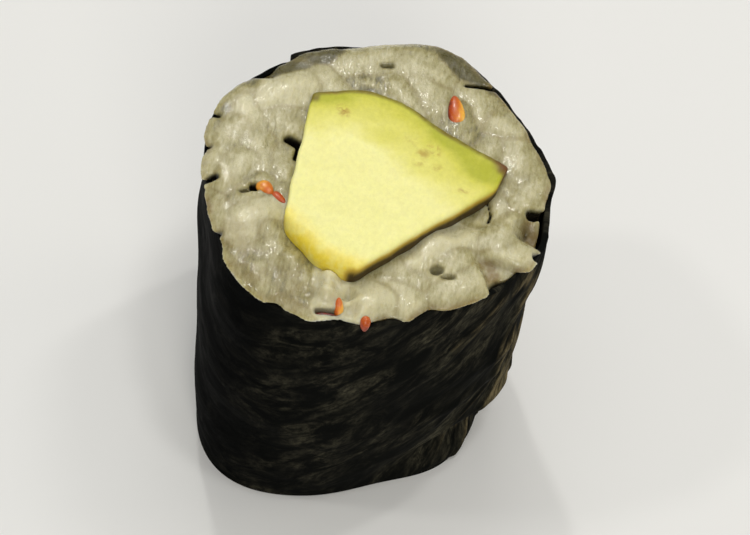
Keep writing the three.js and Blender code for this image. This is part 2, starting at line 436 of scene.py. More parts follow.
    def wedge_outline(self, steps: int) -> Array:
        """The wedge's outline at the top, evenly spaced, anticlockwise seen from above.

        Each corner is a quadratic curve from a point before it to a point after it, with the
        corner itself as the middle control point.

        Args:
            steps: number of points.

        Returns:
            Array of (steps, 2).
        """
        places = self.corner_places()
        t = np.linspace(0.0, 1.0, self.curve_steps)[:, None]
        run = []
        for i, corner in enumerate(self.wedge_corners):
            here = places[i]
            before = places[i - 1] - here
            after = places[(i + 1) % len(places)] - here
            start = here + before / np.linalg.norm(before) * corner.curve
            end = here + after / np.linalg.norm(after) * corner.curve
            run.append((1 - t) ** 2 * start + 2 * (1 - t) * t * here + t**2 * end)
        line = np.concatenate(run)[::-1]
        line = np.concatenate([line, line[:1]])
        reach = np.concatenate([[0.0], np.cumsum(np.linalg.norm(np.diff(line, axis=0), axis=1))])
        at = np.linspace(0.0, reach[-1], steps, endpoint=False)
        return np.stack([np.interp(at, reach, line[:, 0]), np.interp(at, reach, line[:, 1])], axis=-1)

    def corner_distance(self, plan: Array, first: int, last: int) -> Array:
        """Distance from points to the straight runs between some of the wedge's corners.

        Args:
            plan: array of (..., 2) points.
            first: number of the first corner.
            last: number of the last corner, which may pass the end of the list.

        Returns:
            The distance to the nearest run.
        """
        corners = self.corner_places()
        order = np.arange(first, last + 1) % len(corners)
        return runs_distance(plan, corners[order[:-1]], corners[order[1:]])

    def wedge_distance(self, plan: Array, scale: float) -> Array:
        """Signed distance of points from the wedge's outline at a scale, negative inside it.

        A point is inside if a level line from it crosses the outline an odd number of times.

        Args:
            plan: array of (..., 2) points.
            scale: how wide the outline is, against the top.

        Returns:
            One distance for each point.
        """
        corners = self.wedge_outline(self.wedge_steps) * scale
        after = np.roll(corners, -1, axis=0)
        inside = np.full(plan.shape[:-1], False)
        for a, b in zip(corners, after):
            spans = (a[1] > plan[..., 1]) != (b[1] > plan[..., 1])
            if a[1] != b[1]:
                cross = a[0] + (plan[..., 1] - a[1]) / (b[1] - a[1]) * (b[0] - a[0])
                inside ^= spans & (plan[..., 0] < cross)
        nearest = runs_distance(plan, corners, after)
        return np.where(inside, -nearest, nearest)


# ---------------------------------------------------------------- meshes


def make_piece(
    name: str,
    points: Array,
    faces: Array | list[list[int]],
    shape: RollShape,
    finish: bpy.types.Material,
    replaced: str | None,
    values: dict[str, Array],
) -> bpy.types.Object:
    """Makes a smooth mesh object, dressed, that rides on the root body.

    Args:
        name: the piece's name.
        points: array of (count, 3) in the roll's plan, in millimetres.
        faces: lists of point numbers, anticlockwise seen from outside.
        shape: gives the shift from the plan to the frame.
        finish: the material.
        replaced: the frame's node that this piece stands for, if any.
        values: attributes for the material: one number, or one place, for each point.

    Returns:
        The new object.
    """
    mesh = bpy.data.meshes.new(name)
    placed = (points + shape.shift) * MM
    mesh.from_pydata(placed.tolist(), [], faces if isinstance(faces, list) else faces.tolist())
    for key, value in values.items():
        kind, field_name = ("FLOAT", "value") if value.ndim == 1 else ("FLOAT_VECTOR", "vector")
        layer = mesh.attributes.new(key, kind, "POINT")
        layer.data.foreach_set(field_name, np.ascontiguousarray(value, dtype=np.float32).ravel())
    mesh.materials.append(finish)
    mesh.shade_smooth()
    mesh.update()
    piece = bpy.data.objects.new(name, mesh)
    bpy.context.scene.collection.objects.link(piece)
    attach(piece, "root")
    if replaced:
        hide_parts(replaced)
    LOG.info("%s: %d points, %d faces", name, len(points), len(faces))
    return piece


def outward(points: Array, quads: Array) -> Array:
    """The way out of the skin at each point: the sum of its faces' normals, made one long.

    Args:
        points: array of (count, 3).
        quads: array of (count, 4) point numbers.

    Returns:
        Array of (count, 3).
    """
    corners = points[quads]
    normals = np.cross(corners[:, 2] - corners[:, 0], corners[:, 3] - corners[:, 1])
    sums = [np.bincount(quads.ravel(), np.repeat(normals[:, k], 4), len(points)) for k in range(3)]
    total = np.stack(sums, axis=-1)
    return total / np.maximum(np.linalg.norm(total, axis=1, keepdims=True), 1e-9)


def grid_faces(rows: int, columns: int, looped_rows: bool) -> Array:
    """Quads of a grid whose columns close round, and whose rows close too where asked.

    Args:
        rows: number of rings.
        columns: points in each ring, anticlockwise seen from above.
        looped_rows: whether the last ring joins the first.

    Returns:
        Array of (count, 4), facing outwards where the rings climb.
    """
    row = np.arange(rows if looped_rows else rows - 1)[:, None]
    column = np.arange(columns)[None, :]
    lower, upper = row * columns, (row + 1) % rows * columns
    after = (column + 1) % columns
    quads = np.broadcast_arrays(lower + column, lower + after, upper + after, upper + column)
    return np.stack(quads, axis=-1).reshape(-1, 4)


def closed_stack(rings: Array) -> tuple[Array, list[list[int]]]:
    """A closed skin over a stack of rings that climbs, with a fan at each end.

    Args:
        rings: array of (rows, columns, 3).

    Returns:
        The points with both middles added, and the faces.
    """
    rows, columns = rings.shape[:2]
    middles = [rings[0].mean(axis=0)[None], rings[-1].mean(axis=0)[None]]
    points = np.concatenate([rings.reshape(-1, 3), *middles])
    faces = grid_faces(rows, columns, False).tolist()
    first, last = rows * columns, rows * columns + 1
    top = (rows - 1) * columns
    for i in range(columns):
        j = (i + 1) % columns
        faces.append([first, j, i])
        faces.append([last, top + i, top + j])
    return points, faces


# ---------------------------------------------------------------- finishes


Colour = tuple[float, float, float]
Socket = bpy.types.NodeSocket


def paint(red: float, green: float, blue: float) -> Colour:
    """A linear colour from display values between 0 and 255."""
    shares = (value / 255.0 for value in (red, green, blue))
    return tuple(((v + 0.055) / 1.055) ** 2.4 if v > 0.04045 else v / 12.92 for v in shares)


class Recipe:
    """A material's nodes, with short calls for those that the finishes share."""

    def __init__(self, name: str) -> None:
        """Starts a material that has its one main shader.

        Args:
            name: the material's name.
        """
        self.material = bpy.data.materials.new(name)
        self.material.use_nodes = True
        self.tree = self.material.node_tree
        self.shader = self.tree.nodes["Principled BSDF"]
        self.place = self.tree.nodes.new("ShaderNodeTexCoord").outputs["Object"]

    def settle(self, **values: float | Colour) -> None:
        """Sets values that are the same all over, on the shader's own sockets."""
        for key, value in values.items():
            self.put(self.shader.inputs[key.replace("_", " ")], value)

    def feed(self, source: Socket, target: str) -> None:
        """Links a value that varies over the surface to one of the shader's sockets."""
        self.tree.links.new(source, self.shader.inputs[target])

    def put(self, target: Socket, value: Socket | float | Colour) -> None:
        """Links or sets one input.

        Args:
            target: the input.
            value: another node's output, or a number, place or colour.
        """
        if isinstance(value, Socket):
            self.tree.links.new(value, target)
        else:
            target.default_value = (*value, 1.0) if target.type == "RGBA" else value

    def node(self, kind: str, **inputs: Socket | float | Colour) -> bpy.types.Node:
        """Adds a node.

        Args:
            kind: the node's type.
            inputs: what its inputs get, named with _ for a space.

        Returns:
            The new node.
        """
        node = self.tree.nodes.new(kind)
        for key, value in inputs.items():
            self.put(node.inputs[key.replace("_", " ")], value)
        return node

    def value(self, name: str, output: str = "Fac") -> Socket:
        """Reads one of the mesh's own point values.

        Args:
            name: the value's name.
            output: "Fac" for a number, "Vector" for a place.

        Returns:
            The value.
        """
        node = self.node("ShaderNodeAttribute")
        node.attribute_name = name
        return node.outputs[output]

    def noise(
        self,
        size: float,
        detail: float = 3.0,
        rough: float = 0.5,
        warp: float = 0.0,
        vector: Socket | None = None,
    ) -> Socket:
        """Cloudy noise from 0 to 1.

        Args:
            size: width of its largest lumps, in millimetres.
            detail: how many finer layers are added.
            rough: how strong the finer layers are.
            warp: how far the pattern is pulled about.
            vector: place to read, if not the object's own.

        Returns:
            The noise value.
        """
        node = self.node(
            "ShaderNodeTexNoise",
            Vector=vector or self.place,
            Scale=1.0 / (size * MM),
            Detail=detail,
            Roughness=rough,
            Distortion=warp,
        )
        return node.outputs["Fac"]

    def stretch(self, x: float, y: float, z: float = 1.0, vector: Socket | None = None) -> Socket:
        """A place, the object's own if none is given, with each axis multiplied by a factor."""
        node = self.node("ShaderNodeMapping", Vector=vector or self.place, Scale=(x, y, z))
        return node.outputs["Vector"]

    def math(self, operation: str, a: Socket, b: Socket | float) -> Socket:
        """The sum or product of two values.

        Args:
            operation: "ADD" or "MULTIPLY".
            a: one value.
            b: the other value, or a number.

        Returns:
            The result.
        """
        node = self.node("ShaderNodeMath")
        node.operation = operation
        self.put(node.inputs[0], a)
        self.put(node.inputs[1], b)
        return node.outputs["Value"]

    def plus(self, a: Socket, b: Socket | float) -> Socket:
        """The sum of two values."""
        return self.math("ADD", a, b)

    def times(self, a: Socket, b: Socket | float) -> Socket:
        """The product of two values."""
        return self.math("MULTIPLY", a, b)

    def between(
        self, value: Socket, low: float, high: float, to_low: float = 0.0, to_high: float = 1.0
    ) -> Socket:
        """Smoothly maps one range on to another, and holds the value inside it.

        Args:
            value: the value.
            low: start of its range.
            high: end of its range.
            to_low: what the start becomes.
            to_high: what the end becomes.

        Returns:
            The mapped value.
        """
        ranges = {"From_Min": low, "From_Max": high, "To_Min": to_low, "To_Max": to_high}
        node = self.node("ShaderNodeMapRange", Value=value, **ranges)
        node.interpolation_type = "SMOOTHSTEP"
        return node.outputs["Result"]

    def mix(self, share: Socket, low: Socket | Colour, high: Socket | Colour) -> Socket:
        """Mixes two colours.

        Args:
            share: how much of the second there is, from 0 to 1.
            low: the first colour.
            high: the second colour.

        Returns:
            The mixed colour.
        """
        node = self.node("ShaderNodeMix", Factor=share)
        node.data_type = "RGBA"
        # The node's sockets for colours share their names with those for numbers and places.
        first, second, result = node.inputs[6], node.inputs[7], node.outputs[2]
        self.put(first, low)
        self.put(second, high)
        return result

    def tint(self, colour: Socket, share: Socket) -> Socket:
        """A colour made lighter or darker.

        Args:
            colour: the colour.
            share: the factor.

        Returns:
            The colour times the factor.
        """
        node = self.node("ShaderNodeVectorMath")
        node.operation = "SCALE"
        self.put(node.inputs[0], colour)
        self.put(node.inputs["Scale"], share)
        return node.outputs["Vector"]

    def ramp(self, share: Socket, *stops: tuple[float, Colour]) -> Socket:
        """A scale of colours.

        Args:
            share: where on the scale, from 0 to 1.
            stops: the scale's places, each with its colour.

        Returns:
            The colour.
        """
        node = self.node("ShaderNodeValToRGB", Fac=share)
        elements = node.color_ramp.elements
        while len(elements) < len(stops):
            elements.new(0.5)
        for element, (at, colour) in zip(elements, stops):
            element.position = at
            element.color = (*colour, 1.0)
        return node.outputs["Color"]

    def relief(
        self, height: Socket, depth: float, strength: float = 1.0, over: Socket | None = None
    ) -> Socket:
        """Fine relief.

        Args:
            height: the height value.
            depth: how many millimetres proud a height of 1 stands.
            strength: how much of it is used.
            over: relief that it is added to.

        Returns:
            The relief, for a normal input.
        """
        node = self.node("ShaderNodeBump", Distance=depth * MM, Strength=strength, Height=height)
        if over is not None:
            self.put(node.inputs["Normal"], over)
        return node.outputs["Normal"]


@dataclass(frozen=True)
class SeaweedFinish:
    """Moist roasted seaweed: nearly black, with soft olive streaks that sweep up to the right, partly
    painted sheen.
    """

    # dark: painted shade, the colour of the sheet's left side; black is its own colour in front.
    dark: Colour = paint(4, 5, 5)
    black: Colour = paint(14, 15, 13)
    # olive: the streaks' colour, partly the sheet's own mottling and partly painted sheen.
    olive: Colour = paint(70, 67, 54)
    # brown: painted sheen on the folds' ridges.
    brown: Colour = paint(114, 103, 76)
    streak_size: float = 3.4
    thread_size: float = 2.6
    # Where the painted shade on the left is full, and where it has gone, in millimetres along the sheet.
    shaded_until: float = -13.0
    unshaded_from: float = 1.0

    def material(self) -> bpy.types.Material:
        """Builds the material.

        The mesh's value "sheet" is the place on the unrolled sheet, in metres, and "fold" says how
        much a point belongs to a fold's ridge, where brown painted sheen goes. Painted shade darkens
        the sheet left of its front, and the olive streaks are partly its own mottling, partly painted
        sheen.

        Returns:
            The material.
        """
        r = Recipe("seaweed_moist")
        r.settle(Specular_IOR_Level=0.02, IOR=1.45)
        sheet = r.value("sheet", "Vector")
        streaks = r.noise(self.streak_size, 5.0, 0.7, 0.9, r.stretch(0.8, 1.2, vector=sheet))
        threads = r.noise(self.thread_size, 4.0, 0.65, 0.2, r.stretch(0.7, 1.3, vector=sheet))
        specks = r.noise(0.8, 5.0, 0.75, 0.0, sheet)
        patches = r.noise(8.0, 3.0, 0.55, 0.6, sheet)
        # The olive streaks: partly the sheet's own mottling, partly painted sheen.
        light = r.times(r.between(streaks, 0.4, 0.72), r.between(patches, 0.36, 0.66, 0.1, 1.0))
        light = r.times(light, r.between(specks, 0.32, 0.66, 0.1, 1.6))
        along = r.node("ShaderNodeSeparateXYZ", Vector=sheet).outputs["X"]
        # front: painted shade, from 0.1 on the left to 1 in front; it darkens the sheet and dims its
        # streaks and sheen there.
        front = r.between(along, self.shaded_until * MM, self.unshaded_from * MM, 0.1, 1.0)
        light = r.times(light, front)
        base = r.mix(light, r.mix(front, self.dark, self.black), self.olive)
        # Painted sheen: brown on the folds' ridges, in patches, dimmed on the left by the painted shade.
        ridge = r.between(r.value("fold"), 0.4, 0.95)
        fold_sheen = r.times(ridge, r.between(threads, 0.4, 0.62, 0.1, 1.0))
        fold_sheen = r.times(fold_sheen, r.between(specks, 0.36, 0.6, 0.3, 1.2))
        base = r.mix(r.times(fold_sheen, front), base, self.brown)
        r.feed(base, "Base Color")
        r.feed(r.between(streaks, 0.3, 0.75, 0.8, 0.6), "Roughness")
        coarse = r.relief(streaks, 0.1, 0.6)
        r.feed(r.relief(threads, 0.06, 0.8, coarse), "Normal")
        return r.material


@dataclass(frozen=True)
class RiceFinish:
    """Steamed sushi rice: clear grey grains with milky middles, with painted shade, darker and yellower,
    between them.
    """

    glassy: Colour = paint(84, 78, 30)
    grey: Colour = paint(114, 108, 72)
    clear: Colour = paint(160, 152, 104)
    milky: Colour = paint(213, 207, 170)
    # crease: painted shade between the grains.
    crease: Colour = paint(146, 132, 82)
    # rim: painted shade along the rice's rim, and also the colour of a darker patch on its front-left
    # slope.
    rim: Colour = paint(134, 114, 66)
    # hollow_shade: painted shade on the hollows' floors and over the core.
    hollow_shade: Colour = paint(26, 22, 14)

    def material(self) -> bpy.types.Material:
        """Builds the material from the mesh's values for tone, core, crease, rim and hollow_shade.

        The crease, rim and hollow_shade values lay painted shade; the rim value also darkens the
        front-left slope.

        Returns:
            The material.
        """
        r = Recipe("rice_steamed")
        r.settle(
            Subsurface_Weight=0.9,
            Subsurface_Radius=(1.0, 0.9, 0.6),
            Subsurface_Scale=1.3 * MM,
            IOR=1.4,
            Specular_IOR_Level=0.5,
            Coat_Weight=0.6,
            Coat_Roughness=0.08,
        )
        clouds = r.noise(1.6, 5.0, 0.72)
        wide = r.noise(6.0, 2.0)
        strands = r.noise(0.5, 3.0, 0.6, 0.4, r.stretch(1.0, 0.35, 0.5))
        grain = r.plus(r.times(r.value("tone"), 0.5), r.times(r.value("core"), 0.3))
        cloudy = r.times(r.plus(clouds, -0.5), 0.55)
        threads = r.noise(0.34, 3.0, 0.6, 0.3, r.stretch(1.0, 0.3, 0.5))
        # Fine light streaks up the plan: partly milky fibres in the grains, partly painted glints.
        fibre_and_glint_share = r.plus(r.times(strands, 0.9), r.times(threads, 0.8))
        fibre_and_glint_streaks = r.plus(fibre_and_glint_share, -0.85)
        shade = r.plus(grain, r.plus(cloudy, fibre_and_glint_streaks))
        scale = ((0.0, self.glassy), (0.25, self.grey), (0.5, self.clear), (1.0, self.milky))
        base = r.ramp(r.between(shade, -0.8, 1.2), *scale)
        # Painted shade in the creases between grains, in patches.
        creased = r.between(wide, 0.35, 0.65, 0.15, 0.5)
        base = r.mix(r.times(r.value("crease"), creased), base, self.crease)
        # The rim colour in patches: painted shade along the rim's edge, and a darker, browner front-left
        # slope.
        darkening = r.between(r.noise(2.6, 3.0, 0.6), 0.38, 0.64, 0.1, 0.9)
        base = r.mix(r.times(r.value("rim"), darkening), base, self.rim)
        # Painted shade at the bottoms of the hollows and over the core.
        base = r.mix(r.value("hollow_shade"), base, self.hollow_shade)
        r.feed(base, "Base Color")
        fine = r.noise(0.7, 5.0, 0.7)
        r.feed(r.between(fine, 0.3, 0.7, 0.2, 0.45), "Roughness")
        r.feed(r.relief(strands, 0.13, 0.9, r.relief(fine, 0.12, 0.8)), "Normal")
        r.feed(r.relief(threads, 0.06, 1.0), "Coat Normal")
        return r.material


@dataclass(frozen=True)
class AvocadoFinish:
    """Ripe avocado flesh: cream by the stone, green under the peel, browned at its edges, with painted
    shade on its knife side and rounded back edge.
    """

    cream: Colour = paint(247, 242, 163)
    yellow: Colour = paint(233, 228, 126)
    lime: Colour = paint(216, 212, 88)
    green: Colour = paint(184, 186, 52)
    ochre: Colour = paint(246, 220, 62)
    # golden and olive: the knife's side, browned and with painted shade that deepens lower down.
    golden: Colour = paint(197, 166, 58)
    olive: Colour = paint(64, 48, 14)
    # peel: the skin side and the line under the peel, partly painted shade along the rounded back edge.
    peel: Colour = paint(112, 92, 36)
    brown: Colour = paint(112, 74, 36)
    fleck: Colour = paint(180, 146, 62)

    def material(self) -> bpy.types.Material:
        """Builds the material from the mesh's values for peel, stone, fleck, cut, skin and tip.

        Returns:
            The material.
        """
        r = Recipe("avocado_flesh")
        r.settle(
            Subsurface_Weight=0.35,
            Subsurface_Radius=(1.0, 0.9, 0.35),
            Subsurface_Scale=0.8 * MM,
            IOR=1.44,
            Specular_IOR_Level=0.4,
        )
        clouds = r.noise(3.0, 4.0, 0.6, 0.4)
        blotches = r.noise(1.1, 4.0, 0.65, 0.5)
        clouds = r.plus(clouds, r.times(blotches, 0.4))
        shift = r.times(r.plus(clouds, -0.7), 0.34)
        ripe = r.plus(r.value("peel"), shift)
        scale = ((0.28, self.cream), (0.52, self.yellow), (0.8, self.lime), (1.0, self.green))
        base = r.ramp(ripe, (0.0, self.cream), *scale)
        tinted_share = r.between(r.noise(1.5, 3.0, 0.6, 0.3), 0.3, 0.62, 0.55, 1.0)
        base = r.mix(r.times(tinted_share, r.value("stone")), base, self.ochre)
        speck = r.between(r.noise(0.9, 3.0, 0.6, 0.5), 0.4, 0.62)
        base = r.mix(r.times(speck, r.value("fleck")), base, self.fleck)
        peel_patches = r.between(r.noise(1.8, 3.0, 0.6), 0.35, 0.65, 0.7, 1.0)
        soft = r.between(r.noise(2.6, 2.0), 0.3, 0.7, 0.82, 1.0)
        # The knife's side: golden near the edge, olive lower down, browning with painted shade.
        cut = r.times(soft, r.value("cut"))
        base = r.mix(r.between(cut, 0.0, 0.4), base, self.golden)
        base = r.mix(r.between(cut, 0.3, 0.9), base, self.olive)
        # Peel colour in patches: the line under the peel, partly painted shade on the rounded back edge.
        base = r.mix(r.times(peel_patches, r.value("skin")), base, self.peel)
        base = r.mix(r.value("tip"), base, self.brown)
        grain = r.noise(0.45, 4.0, 0.7, 0.0, r.stretch(1.0, 0.6))
        r.feed(r.tint(base, r.between(grain, 0.25, 0.75, 0.95, 1.05)), "Base Color")
        fine = r.noise(0.8, 4.0, 0.65)
        r.feed(r.between(fine, 0.3, 0.7, 0.32, 0.58), "Roughness")
        r.feed(r.relief(fine, 0.06, 0.6), "Normal")
        return r.material


@dataclass(frozen=True)
class SesameFinish:
    """Toasted sesame: orange, redder where it is more toasted, with an oily gloss, and painted highlight
    and shade.
    """

    # yellow: the palest toast, and the painted highlight on one side of some seeds.
    yellow: Colour = paint(250, 186, 72)
    body: Colour = paint(212, 112, 24)
    tip: Colour = paint(184, 70, 12)
    # char_and_shade: charred tips, and the painted shade of a seed sunk in shadow.
    char_and_shade: Colour = paint(92, 26, 18)

    def material(self) -> bpy.types.Material:
        """Builds the material; the mesh's value "red" is how toasted each point is, with painted
        highlight and shade in it.

        Returns:
            The material.
        """
        r = Recipe("sesame_toasted")
        r.settle(
            Subsurface_Weight=0.15,
            Subsurface_Radius=(1.0, 0.45, 0.15),
            Subsurface_Scale=0.4 * MM,
            Coat_Weight=0.2,
            Coat_Roughness=0.08,
        )
        patches = r.noise(0.7, 3.0, 0.6)
        share = r.plus(r.value("red"), r.times(r.plus(patches, -0.5), 0.7))
        scale = ((0.0, self.yellow), (0.35, self.body), (0.75, self.tip), (1.0, self.char_and_shade))
        r.feed(r.ramp(share, *scale), "Base Color")
        r.feed(r.between(patches, 0.3, 0.7, 0.22, 0.4), "Roughness")
        r.feed(r.relief(r.noise(0.25, 2.0), 0.02, 0.6), "Normal")
        return r.material


@dataclass(frozen=True)
class FloorFinish:
    """A plain pale matt floor."""

    pale: Colour = paint(240, 240, 238)
    shade: Colour = paint(236, 236, 233)

    def material(self) -> bpy.types.Material:
        """Builds the material: two close shades in wide soft clouds.

        Returns:
            The material.
        """
        r = Recipe("studio_floor")
        r.settle(Specular_IOR_Level=0.1)
        clouds = r.noise(120.0, 2.0)
        r.feed(r.mix(clouds, self.pale, self.shade), "Base Color")
        r.feed(r.between(clouds, 0.3, 0.7, 0.75, 0.85), "Roughness")
        return r.material


# ---------------------------------------------------------------- seaweed


@dataclass
class SeaweedWrap:
    """The seaweed sheet round the roll, with its lap at the back and its folds at the right."""

    shape: RollShape
    columns: int = 520
    outer_rows: int = 168
    edge_rows: int = 5
    inner_rows: int = 12
    front: float = -90.0
    run_radius: float = 18.0
    sweep: float = 0.55
    sweep_change: float = 0.85
    sweep_pace: float = 0.9
    front_relief: float = 0.08
    side_relief: float = 0.5
    band_size: tuple[float, float, float] = (7.0, 3.6, 1.0)
    fold_size: tuple[float, float, float] = (8.0, 4.4, 1.0)
    fold_middle: float = -8.0
    fold_reach: float = 72.0
    fade_turn: float = -30.0
    fade_reach: float = 30.0
    fade_depth: Span = (0.5, 9.0)
    fold_share: float = 0.45
    band_share: float = 0.3
    edge_round: float = 0.1
    edge_ragged: float = 0.18
    edge_ragged_size: float = 1.3
    ragged_radius: float = 19.0
    ledges: tuple[Swell, ...] = (
        Swell(0.8, -20, 34, 10.2, 1.1, 0.05),
        Swell(-1.1, -22, 34, 7.4, 1.3, 0.05),
        Swell(0.8, -32, 30, 2.2, 2.0, 0.0),
        Swell(0.4, -24, 34, 23.0, 1.2, 0.12),
        Swell(0.4, -42, 30, 16.0, 1.0, 0.12),
    )

    def unrolled(self, angle: Array, z: Array) -> Array:
        """Places on the unrolled sheet: how far along its folds, and how far across them.

        The folds climb to the right, steeper from the front to the right side: their slope at a
        turn t from the front is sweep + sweep_change sin(sweep_pace t), and the height that it
        adds up to is taken off z.

        Args:
            angle: direction of each point in degrees.
            z: height of each point.

        Returns:
            Array of (..., 3) in millimetres, whose last number is 0.
        """
        s = self.shape
        t = np.radians((angle - s.lap_end) % 360.0 + s.lap_end - 360.0 - self.front)
        bent = self.sweep_change / self.sweep_pace * (1.0 - np.cos(self.sweep_pace * t))
        across = z - self.run_radius * (self.sweep * t + bent)
        return np.stack([self.run_radius * t, across, np.zeros_like(z)], axis=-1)

    def relief(self, angle: Array, z: Array) -> tuple[Array, Array]:
        """Fine wrinkles of the outer face: soft bands in front, sharp folds at the right.

        A fold is a ridge: 1 minus the size of a noise that is long along the folds. The folds
        fade a little below the cut edge at the right of the front.

        Args:
            angle: direction of each point in degrees.
            z: height of each point.

        Returns:
            The relief in millimetres, and how much each point belongs to a fold, 0 to 1.
        """
        sheet = self.unrolled(angle, z)
        top = self.shape.wrap_height
        bands = layered_noise(sheet, self.band_size, Pattern.SHEET_BANDS, 4)
        side = arch(angle, self.fold_middle, self.fold_reach)
        right = ease(turn_from(angle, self.fade_turn), 0.0, self.fade_reach)
        side = side * blend(1.0, ease(top - z, *self.fade_depth), right)
        folds = np.abs(layered_noise(sheet, self.fold_size, Pattern.SHEET_FOLDS, 2))
        ridge = ease(1.0 - folds, self.fold_share, 1.0)
        height = self.front_relief * bands * (1.0 - 0.4 * side)
        height = height + self.side_relief * (ridge - 0.5) * side
        ledge = self.shape.swell_depth(self.ledges, angle, z)
        # The fold share, soft bands included, also says where the seaweed's brown painted sheen goes.
        soft = self.band_share * ease(bands, 0.3, 1.0) * ease(z, 3.0, 9.0)
        fold = np.clip(ridge * side + soft, 0.0, 1.0)
        return height + ledge, fold

    def build(self) -> bpy.types.Object:
        """Lays the sheet: rings up the outer face, over the cut edge and down the inner face.

        Returns:
            The wrap's object, dressed.
        """
        s = self.shape
        even = np.linspace(0.0, 360.0, self.columns - 2, endpoint=False)
        clear = even[np.abs(turn_from(even, s.lap_end)) > s.lap_step * 0.6]
        step = [s.lap_end - s.lap_step / 2, s.lap_end + s.lap_step / 2]
        angle = np.sort(np.concatenate([clear, step]))
        round_rim = on_circle(angle, self.ragged_radius + 0 * angle, 0.0)
        ragged = lattice_noise(round_rim, self.edge_ragged_size, Pattern.SHEET_EDGE)
        top = s.wrap_top(angle) + self.edge_ragged * ragged
        below = (top - self.edge_round)[None, :]
        z = np.linspace(0.0, 1.0, self.outer_rows)[:, None] * below
        height, fold = self.relief(angle + 0 * z, z)
        outer = s.wall_radius(angle, z) + s.lap_depth(angle) + height * ease(z)
        over = np.linspace(0.0, np.pi, self.edge_rows + 2)[1:-1, None]
        inner_top = s.wall_radius(angle, top) - s.wrap_thickness
        middle, half = (outer[-1] + inner_top) / 2.0, (outer[-1] - inner_top) / 2.0
        inner_z = np.linspace(1.0, 0.0, self.inner_rows)[:, None] * below
        inner = s.wall_radius(angle, inner_z) - s.wrap_thickness
        radius = np.concatenate([outer, middle + half * np.cos(over), inner])
        heights = np.concatenate([z, below + self.edge_round * np.sin(over), inner_z])
        every = np.broadcast_to(angle, radius.shape)
        folds = np.concatenate([fold, np.zeros((len(radius) - len(fold), len(angle)))])
        return make_piece(
            "seaweed_sheet",
            on_circle(every, radius, heights).reshape(-1, 3),
            grid_faces(*radius.shape, True),
            s,
            SeaweedFinish().material(),
            "seaweed_wrap",
            {"fold": folds.reshape(-1), "sheet": self.unrolled(every, heights).reshape(-1, 3) * MM},
        )


# ---------------------------------------------------------------- avocado


@dataclass(frozen=True)
class EdgeRun:
    """Part of the wedge's top edge, from one corner to a later one, and how round it is."""

    first: int
    last: int
    radius: float


@dataclass(frozen=True)
class Mark:
    """A soft patch on the avocado's cut face: its place, reach, strength, stretch and turn."""

    x: float
    y: float
    reach: float
    strength: float
    stretch: float = 1.0
    turn: float = 0.0

    def share(self, plan: Array) -> Array:
        """The patch's strength at each point, which fades from its middle outwards."""
        u, v = turned(plan, self.x, self.y, self.turn)
        return self.strength * ease(np.hypot(u / self.stretch, v), self.reach, self.reach * 0.15)


